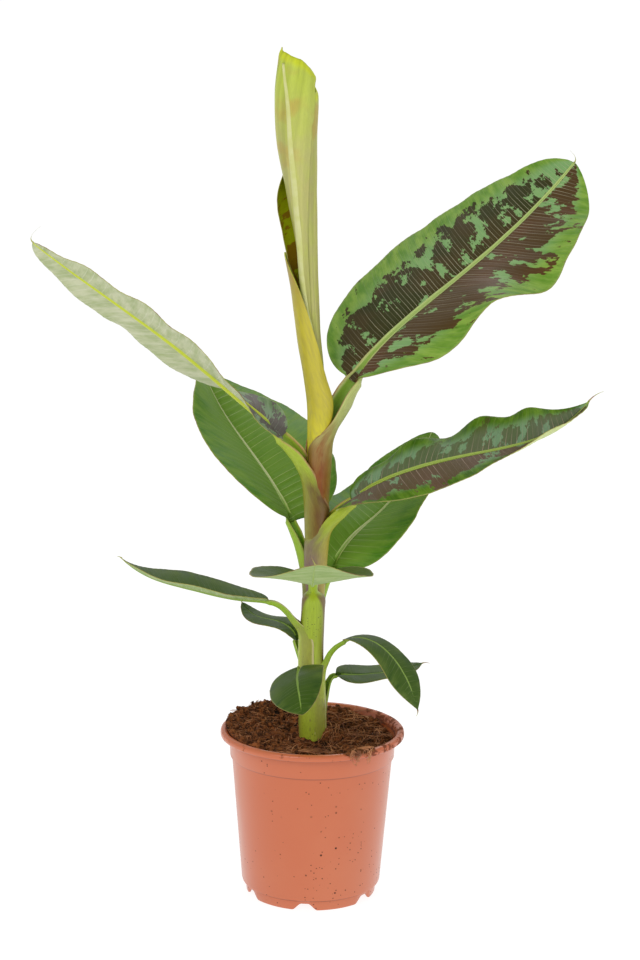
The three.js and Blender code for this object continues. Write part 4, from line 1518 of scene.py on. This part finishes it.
@dataclass
class Pot:
    """Nursery pot: a spun shell with a rolled lip and collar band over a notched skirt."""

    height: float = 193.5
    lip_radius: float = 105.0
    lip_depth: float = 8.0
    collar_radius: float = 94.0
    collar_depth: float = 31.0
    shoulder_radius: float = 91.8
    foot_radius: float = 79.6
    skirt_radius: float = 74.0
    skirt_height: float = 12.0
    skirt_wall: float = 3.0
    wall: float = 1.8
    notch_count: int = 6
    notch_first: float = -95.0
    notch_base: float = 25.0
    notch_top: float = 9.0
    notch_height: float = 8.0
    pad_size: Tuple[float, float, float] = (18.0, 19.0, 9.2)
    sectors: int = 160

    def shell_profile(self) -> List[Tuple[float, float]]:
        """Radius and height of each point of the wall, from under the floor round the lip to inside."""
        r, top, wall = self.lip_radius, self.height, self.wall
        ring, foot, skirt = self.skirt_radius, self.foot_radius, self.skirt_height
        neck, shoulder = self.shoulder_radius, top - self.collar_depth
        collar, under = self.collar_radius, top - self.lip_depth
        outside = [(0, 9), (ring - 4, 9), (ring + 0.6, skirt - 0.8), (ring + 1.2, skirt - 0.2),
                   (foot - 2.6, skirt + 0.2), (foot - 0.8, skirt + 1.4), (foot, skirt + 4),
                   (neck - 0.1, shoulder - 1.4), (neck, shoulder - 0.5), (neck + 1.7, shoulder - 0.3),
                   (neck + 2.1, shoulder + 0.3), (collar + 0.7, under - 1.2), (collar + 0.8, under - 0.1)]
        lip = [(r - 3.4, under), (r - 1.2, under + 0.2), (r - 0.3, under + 1.0), (r, under + 2.2),
               (r, top - 3.6), (r - 0.5, top - 2.0), (r - 1.6, top - 0.8), (r - 3.2, top - 0.1),
               (r - 5.0, top)]
        inside = [(r - 6.8, top - 0.6), (r - 8.4, top - 2.6), (collar + 0.4, under - 2),
                  (collar - wall, under - 6), (neck + 1 - wall, shoulder + 1), (neck - wall, shoulder - 3),
                  (foot - wall, skirt + 3), (foot - wall - 3, skirt), (0, skirt)]
        return outside + lip + inside

    def shell(self) -> None:
        """Spins the wall and floor."""
        mesh = bmesh.new()
        points = [mesh.verts.new(Vector((r, 0, z)) * MM) for r, z in self.shell_profile()]
        edges = [mesh.edges.new(pair) for pair in zip(points, points[1:])]
        bmesh.ops.spin(mesh, geom=points + edges, cent=(0, 0, 0), axis=(0, 0, 1), dvec=(0, 0, 0),
                       angle=2 * math.pi, steps=self.sectors, use_merge=True)
        bmesh.ops.remove_doubles(mesh, verts=mesh.verts, dist=MERGE)
        bmesh.ops.recalc_face_normals(mesh, faces=mesh.faces)
        piece("pot_shell", mesh, [PotFinish()], ["pot"], crease=38)

    def notch(self, bearing: float) -> float:
        """Lower edge of the skirt, which a notch lifts.

        Args:
            bearing: direction from the pot's axis.

        Returns:
            Height of the edge over the floor.
        """
        step = 360 / self.notch_count
        off = abs((bearing - self.notch_first + step / 2) % step - step / 2)
        across = math.radians(off) * self.skirt_radius
        low, high = self.notch_base / 2 + 2.5, self.notch_top / 2 - 1.0
        return self.notch_height * ease(low, high, across)

    def skirt(self) -> None:
        """Models the foot ring with its drainage notches."""
        rows = 720
        inner, outer, top = self.skirt_radius - self.skirt_wall, self.skirt_radius, self.skirt_height
        section = [(outer + 1.3, top), (outer + 0.2, 1.4), (outer - 0.3, 0.4), (outer - 1.1, 0.0),
                   (inner + 1.1, 0.0), (inner + 0.3, 0.4), (inner, 1.4), (inner - 0.6, top)]

        def place(i: int, j: int) -> Vector:
            """Point of the ring, lifted at the notches."""
            bearing = 360 * i / rows
            r, z = section[j % len(section)]
            lifted = mix(self.notch(bearing), top, z / top)
            return heading(0, bearing) * r + UP * lifted

        sheet = Sheet(rows, len(section), place, closed=True)
        mesh = sheet.finish()
        bmesh.ops.recalc_face_normals(mesh, faces=mesh.faces)
        piece("pot_skirt", mesh, [PotFinish()], crease=50)

    def pad(self) -> None:
        """Models the low pad under the middle of the floor."""
        mesh = bmesh.new()
        low, high, depth = (size * MM for size in self.pad_size)
        bmesh.ops.create_cone(mesh, cap_ends=True, segments=48, radius1=low, radius2=high, depth=depth)
        bmesh.ops.translate(mesh, verts=mesh.verts, vec=UP * depth / 2)
        sharp = [edge for edge in mesh.edges if edge.calc_face_angle() > 1]
        bmesh.ops.bevel(mesh, geom=sharp, offset=0.8 * MM, offset_type="OFFSET", affect="EDGES", segments=2,
                        profile=0.5, material=-1)
        piece("pot_pad", mesh, [PotFinish()], crease=30)

    def build(self) -> None:
        """Models the pot."""
        self.shell()
        self.skirt()
        self.pad()


@dataclass
class Soil:
    """Potting soil: a heaped crumbly bed with loose crumbs and root fibres on it."""

    level: float = 176.0
    clump: float = 1.5
    seat_radius: float = 26.0
    heap: float = 12.0
    tilt: float = 10.0
    high_bearing: float = 160.0
    bank_height: float = 11.0
    bank_bearing: float = -15.0
    bank_spread: float = 38.0
    crumbs: int = 2000
    fibres: int = 620
    crumb_size: Tuple[float, float] = (0.9, 4.6)
    crumb_grain: float = 2.2
    crumb_wobble: float = 0.7
    spilled: int = 46
    spilled_size: Tuple[float, float] = (1.2, 3.2)
    spill_bearings: Tuple[float, float] = (-66.0, -52.0)
    long_fibre: Tuple[float, float] = (10.0, 40.0)
    short_fibre: Tuple[float, float] = (5.0, 16.0)
    fibre_thickness: Tuple[float, float] = (0.36, 0.74)
    clear_radius: float = 15.5
    on_lip: float = 194.5
    seed: int = 7

    def height(self, radius: float, bearing: float) -> float:
        """Height of the bed without its crumbs.

        Args:
            radius: distance from the pot's axis.
            bearing: direction from the axis.

        Returns:
            Height over the floor, which rises outwards and is banked up beside the stem.
        """
        share = ease(self.seat_radius, 94, radius)
        heap = self.heap + self.tilt * math.cos(math.radians(bearing - self.high_bearing))
        off = (bearing - self.bank_bearing + 180) % 360 - 180
        banked = self.bank_height * math.exp(-(off / self.bank_spread) ** 2)
        banked *= ease(10, 17, radius) * ease(60, 26, radius)
        return self.level + share * heap + 5.0 * (1 - ease(14, 34, radius)) + banked

    def edge(self, bearing: float) -> float:
        """Radius at which the bed meets the wall or lip, larger where the bed is high."""
        return 92.2 + 0.42 * max(0.0, self.height(92, bearing) - 180)

    def surface(self, radius: float, bearing: float) -> Vector:
        """Point on the bed, clumps included.

        Args:
            radius: distance from the pot's axis.
            bearing: direction from the axis.

        Returns:
            The point.
        """
        flat = heading(0, bearing) * radius
        low = self.relief(flat) * (ease(8, 18, radius) * 0.5 + 0.5)
        low = min(low, 6.0) * ease(self.edge(bearing) + 1, self.edge(bearing) - 6, radius) + 0.6
        return flat + UP * (self.height(radius, bearing) + low)

    def relief(self, flat: Vector) -> float:
        """Height of the clumps over the smooth bed.

        Args:
            flat: place in the plan.

        Returns:
            The height, which may be below zero.
        """
        low = 4.0 * rough(flat, 26.0, 1.0) + 4.5 * rough(flat, 12.0, 2.0)
        low += self.clump * (3.2 * abs(rough(flat, 6.5, 3.0)) + 1.3 * rough(flat, 2.6, 4.0))
        return low

    def bed(self) -> None:
        """Models the bed down to below the rim."""
        rows, columns = 120, 320
        wall = ((88.0, 150.0), (90.0, 165.0), (91.0, 178.0), (92.0, 184.0))

        def place(i: int, j: int) -> Vector:
            """Point of the bed, up its side and then inwards to the axis."""
            bearing = 360 * j / columns
            if i < len(wall):
                radius, z = wall[i]
                return heading(0, bearing) * radius + UP * min(z, self.height(92, bearing) - 1)
            share = (i - len(wall)) / (rows - len(wall))
            return self.surface(self.edge(bearing) * (1 - share), bearing)

        def depth(i: int, j: int) -> Tuple[float, float]:
            """How high the clumps are there, and how far in."""
            share = max(0, i - len(wall)) / (rows - len(wall))
            flat = heading(0, 360 * j / columns) * self.edge(360 * j / columns) * (1 - share)
            return self.relief(flat) / 12 + 0.5, share

        sheet = Sheet(rows, columns, place, closed=True)
        # The map "depth" carries the clump height, which the finish turns into painted shade in the
        # hollows.
        sheet.map("depth", depth)
        piece("soil_bed", sheet.finish(caps=True), [SoilFinish("soil_ground", hollow_shade=0.85)], ["soil"])

    def spots(self, count: int, salt: int) -> List[Tuple[float, Vector, float]]:
        """Scatters places on the bed.

        Args:
            count: how many.
            salt: seed of the scatter.

        Returns:
            Bearing, point, and a number from 0 to 1 of each.
        """
        found = []
        for k in range(count):
            out, way, pick = chances(k, salt)
            bearing = 360 * way
            radius = mix(self.clear_radius, self.edge(bearing) - 3.0, math.sqrt(out))
            found.append((bearing, self.surface(radius, bearing), pick))
        return found

    def crumb_piece(self) -> None:
        """Models loose crumbs, joined."""
        mesh = bmesh.new()
        for _, point, pick in self.spots(self.crumbs, self.seed):
            size = mix(*self.crumb_size, pick ** 2.5)
            turn = Matrix.Rotation(pick * 40, 4, "X") @ Matrix.Rotation(pick * 90, 4, "Z")
            shape = Matrix.Diagonal((1.0, 0.75, 0.6, 1.0))
            where = Matrix.Translation((point + UP * size * 0.3) * MM) @ turn @ shape
            bmesh.ops.create_icosphere(mesh, subdivisions=1, radius=size * MM, matrix=where)
        for k in range(self.spilled):
            a, b, size = chances(k, 60)
            point = heading(0, mix(-68, -50, a)) * mix(90, 106, b)
            where = Matrix.Translation((point + UP * (self.on_lip + 2.5 * size * (1 - b))) * MM)
            radius = mix(*self.spilled_size, size) * MM
            bmesh.ops.create_icosphere(mesh, subdivisions=1, radius=radius, matrix=where)
        noise.seed_set(self.seed)
        for vertex in mesh.verts:
            vertex.co += noise.noise_vector(vertex.co / (self.crumb_grain * MM)) * self.crumb_wobble * MM
        finish = SoilFinish("soil_crumbs", "#3c2010", "#8a522b", "#b27a46")
        piece("soil_crumbs", mesh, [finish], crease=0)

    def fibre_piece(self) -> None:
        """Models fine roots and coir fibres, joined."""
        steps, sides = 7, 3
        mesh = bmesh.new()
        for bearing, point, pick in self.spots(self.fibres, self.seed + 90):
            right = math.cos(math.radians(bearing + 25)) > 0.1
            length = mix(*(self.long_fibre if right else self.short_fibre), pick)
            thick = mix(*self.fibre_thickness, (pick * 5.3) % 1) * (1.0 if right else 0.75)
            way = heading(mix(4, 34, (pick * 7.3) % 1), 360 * ((pick * 13.7) % 1))
            bend = heading(-30, 360 * ((pick * 29.1) % 1))
            side = way.orthogonal().normalized()
            lift = way.cross(side)
            grid = bmesh.ops.create_grid(mesh, x_segments=sides, y_segments=steps, size=1.0)
            for vertex in grid["verts"]:
                s, turn = (vertex.co.y + 1) / 2, math.pi * (vertex.co.x + 1)
                centre = point + UP * 0.8 + way * length * s + bend * length * 0.75 * s * s
                out = (side * math.cos(turn) + lift * math.sin(turn)) * thick * mix(1.0, 0.45, s)
                vertex.co = (self.kept_in(centre) + out) * MM
        self.spill(mesh)
        bmesh.ops.remove_doubles(mesh, verts=mesh.verts, dist=MERGE / 10)
        close(mesh)
        piece("soil_fibres", mesh, [PlainFinish("root_fibre", "#cc8a5c", "#865030", 0.8)])

    def spill(self, mesh: bmesh.types.BMesh) -> None:
        """Adds a small tangle that hangs over the lip at the front right.

        Args:
            mesh: the fibres' mesh.
        """
        for k in range(self.spilled):
            a, b, c = chances(k, 40)
            bearing, drop = mix(*self.spill_bearings, a), mix(2, 17, b * b)
            grid = bmesh.ops.create_grid(mesh, x_segments=3, y_segments=8, size=1.0)
            for vertex in grid["verts"]:
                s, turn = (vertex.co.y + 1) / 2, math.pi * (vertex.co.x + 1)
                radius = mix(mix(88, 96, c), 106.6 + 1.2 * c, ease(0.0, 0.6, s))
                z = self.on_lip + 3.5 * c * math.sin(math.pi * s) - drop * ease(0.55, 1.0, s)
                centre = heading(0, bearing + 7 * (c - 0.5) * math.sin(5 * s + 6 * a)) * radius
                out = heading(90 * math.sin(turn), bearing + 90 * math.cos(turn)) * mix(1.0, 0.45, s)
                vertex.co = (centre + UP * z + out) * MM

    def kept_in(self, point: Vector) -> Vector:
        """Keeps a point over the pot and just above the bed.

        Args:
            point: the point.

        Returns:
            The point, drawn inwards and lifted if it has to be.
        """
        flat = Vector((point.x, point.y, 0))
        bearing = math.degrees(math.atan2(flat.y, flat.x))
        radius = min(flat.length, self.edge(bearing) + 1.5)
        inside = flat.normalized() * radius
        bed = self.surface(min(radius, self.edge(bearing) - 1), bearing).z
        return Vector((inside.x, inside.y, max(point.z, bed + 0.5)))

    def build(self) -> None:
        """Models the soil."""
        self.bed()
        self.crumb_piece()
        self.fibre_piece()


# Studio

@dataclass
class Studio:
    """Pale floor, soft lights and the camera."""

    camera_place: Tuple[float, float, float] = (0.0, -2920.0, 1120.0)
    pitch: float = 12.3
    yaw: float = 0.1
    tilt: float = 0.72
    lens: float = 100.0
    sensor: float = 36.0
    surround: float = 0.55
    seen_white: float = 1.0
    floor_reach: float = 40.0
    lamp_size: float = 1.8
    lamp_aim: float = 0.5
    lamps: Tuple[Tuple[str, Tuple[float, float, float], float], ...] = (
        ("key_light", (-1.5, -2.6, 2.2), 26.0),
        ("fill_light", (2.4, -1.8, 1.4), 12.0),
        ("back_light", (0.4, 2.0, 2.6), 16.0),
    )

    def floor(self) -> None:
        """Models the flat white floor."""
        mesh = bmesh.new()
        bmesh.ops.create_grid(mesh, x_segments=1, y_segments=1, size=self.floor_reach)
        data = bpy.data.meshes.new("studio_floor")
        mesh.to_mesh(data)
        mesh.free()
        obj = bpy.data.objects.new("studio_floor", data)
        bpy.context.scene.collection.objects.link(obj)
        data.materials.append(PaperFinish().material())

    def lights(self) -> None:
        """Adds soft panel lights that face the plant, and the pale surroundings."""
        for name, place, power in self.lamps:
            lamp = bpy.data.lights.new(name, "AREA")
            lamp.shape, lamp.size, lamp.energy = "DISK", self.lamp_size, power
            obj = bpy.data.objects.new(name, lamp)
            obj.location = place
            aim = UP * self.lamp_aim - obj.location
            obj.rotation_euler = aim.to_track_quat("-Z", "Y").to_euler()
            bpy.context.scene.collection.objects.link(obj)
        world = bpy.data.worlds.new("studio")
        world.use_nodes = True
        wiring = Wiring(world.node_tree)
        seen = wiring.take("ShaderNodeLightPath", "Is Camera Ray")
        background = world.node_tree.nodes["Background"]
        wiring.feed(background.inputs["Color"], WHITE)
        wiring.feed(background.inputs["Strength"], seen.band(0.0, 1.0, self.surround, self.seen_white))
        bpy.context.scene.world = world

    def camera(self) -> None:
        """Places the camera at the photograph's viewpoint."""
        pitch, yaw, tilt = (math.radians(a) for a in (self.pitch, self.yaw, self.tilt))
        level = math.cos(pitch)
        forward = Vector((math.sin(yaw) * level, math.cos(yaw) * level, -math.sin(pitch)))
        right = forward.cross(UP).normalized()
        up = right.cross(forward)
        across = right * math.cos(tilt) + up * math.sin(tilt)
        lift = up * math.cos(tilt) - right * math.sin(tilt)
        data = bpy.data.cameras.new("camera")
        data.lens, data.sensor_fit, data.sensor_height = self.lens, "VERTICAL", self.sensor
        data.clip_end = 50.0
        obj = bpy.data.objects.new("camera", data)
        turn = Matrix((across, lift, -forward)).transposed().to_4x4()
        obj.matrix_world = Matrix.Translation(Vector(self.camera_place) * MM) @ turn
        bpy.context.scene.collection.objects.link(obj)
        bpy.context.scene.camera = obj

    def build(self) -> None:
        """Sets the stage."""
        self.floor()
        self.lights()
        self.camera()
        bpy.context.scene.view_settings.view_transform = "Standard"


def main() -> None:
    """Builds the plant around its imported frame."""
    logging.basicConfig(level=logging.INFO, format="%(name)s: %(message)s")
    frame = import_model()
    LOG.info("frame of %d nodes", len(frame["nodes"]))
    Studio().build()
    Pot().build()
    Soil().build()
    stem = Stem()
    stem.build()
    for leaf in LEAVES:
        leaf.build(stem)
    Spear().build()


if __name__ == "__main__":
    main()
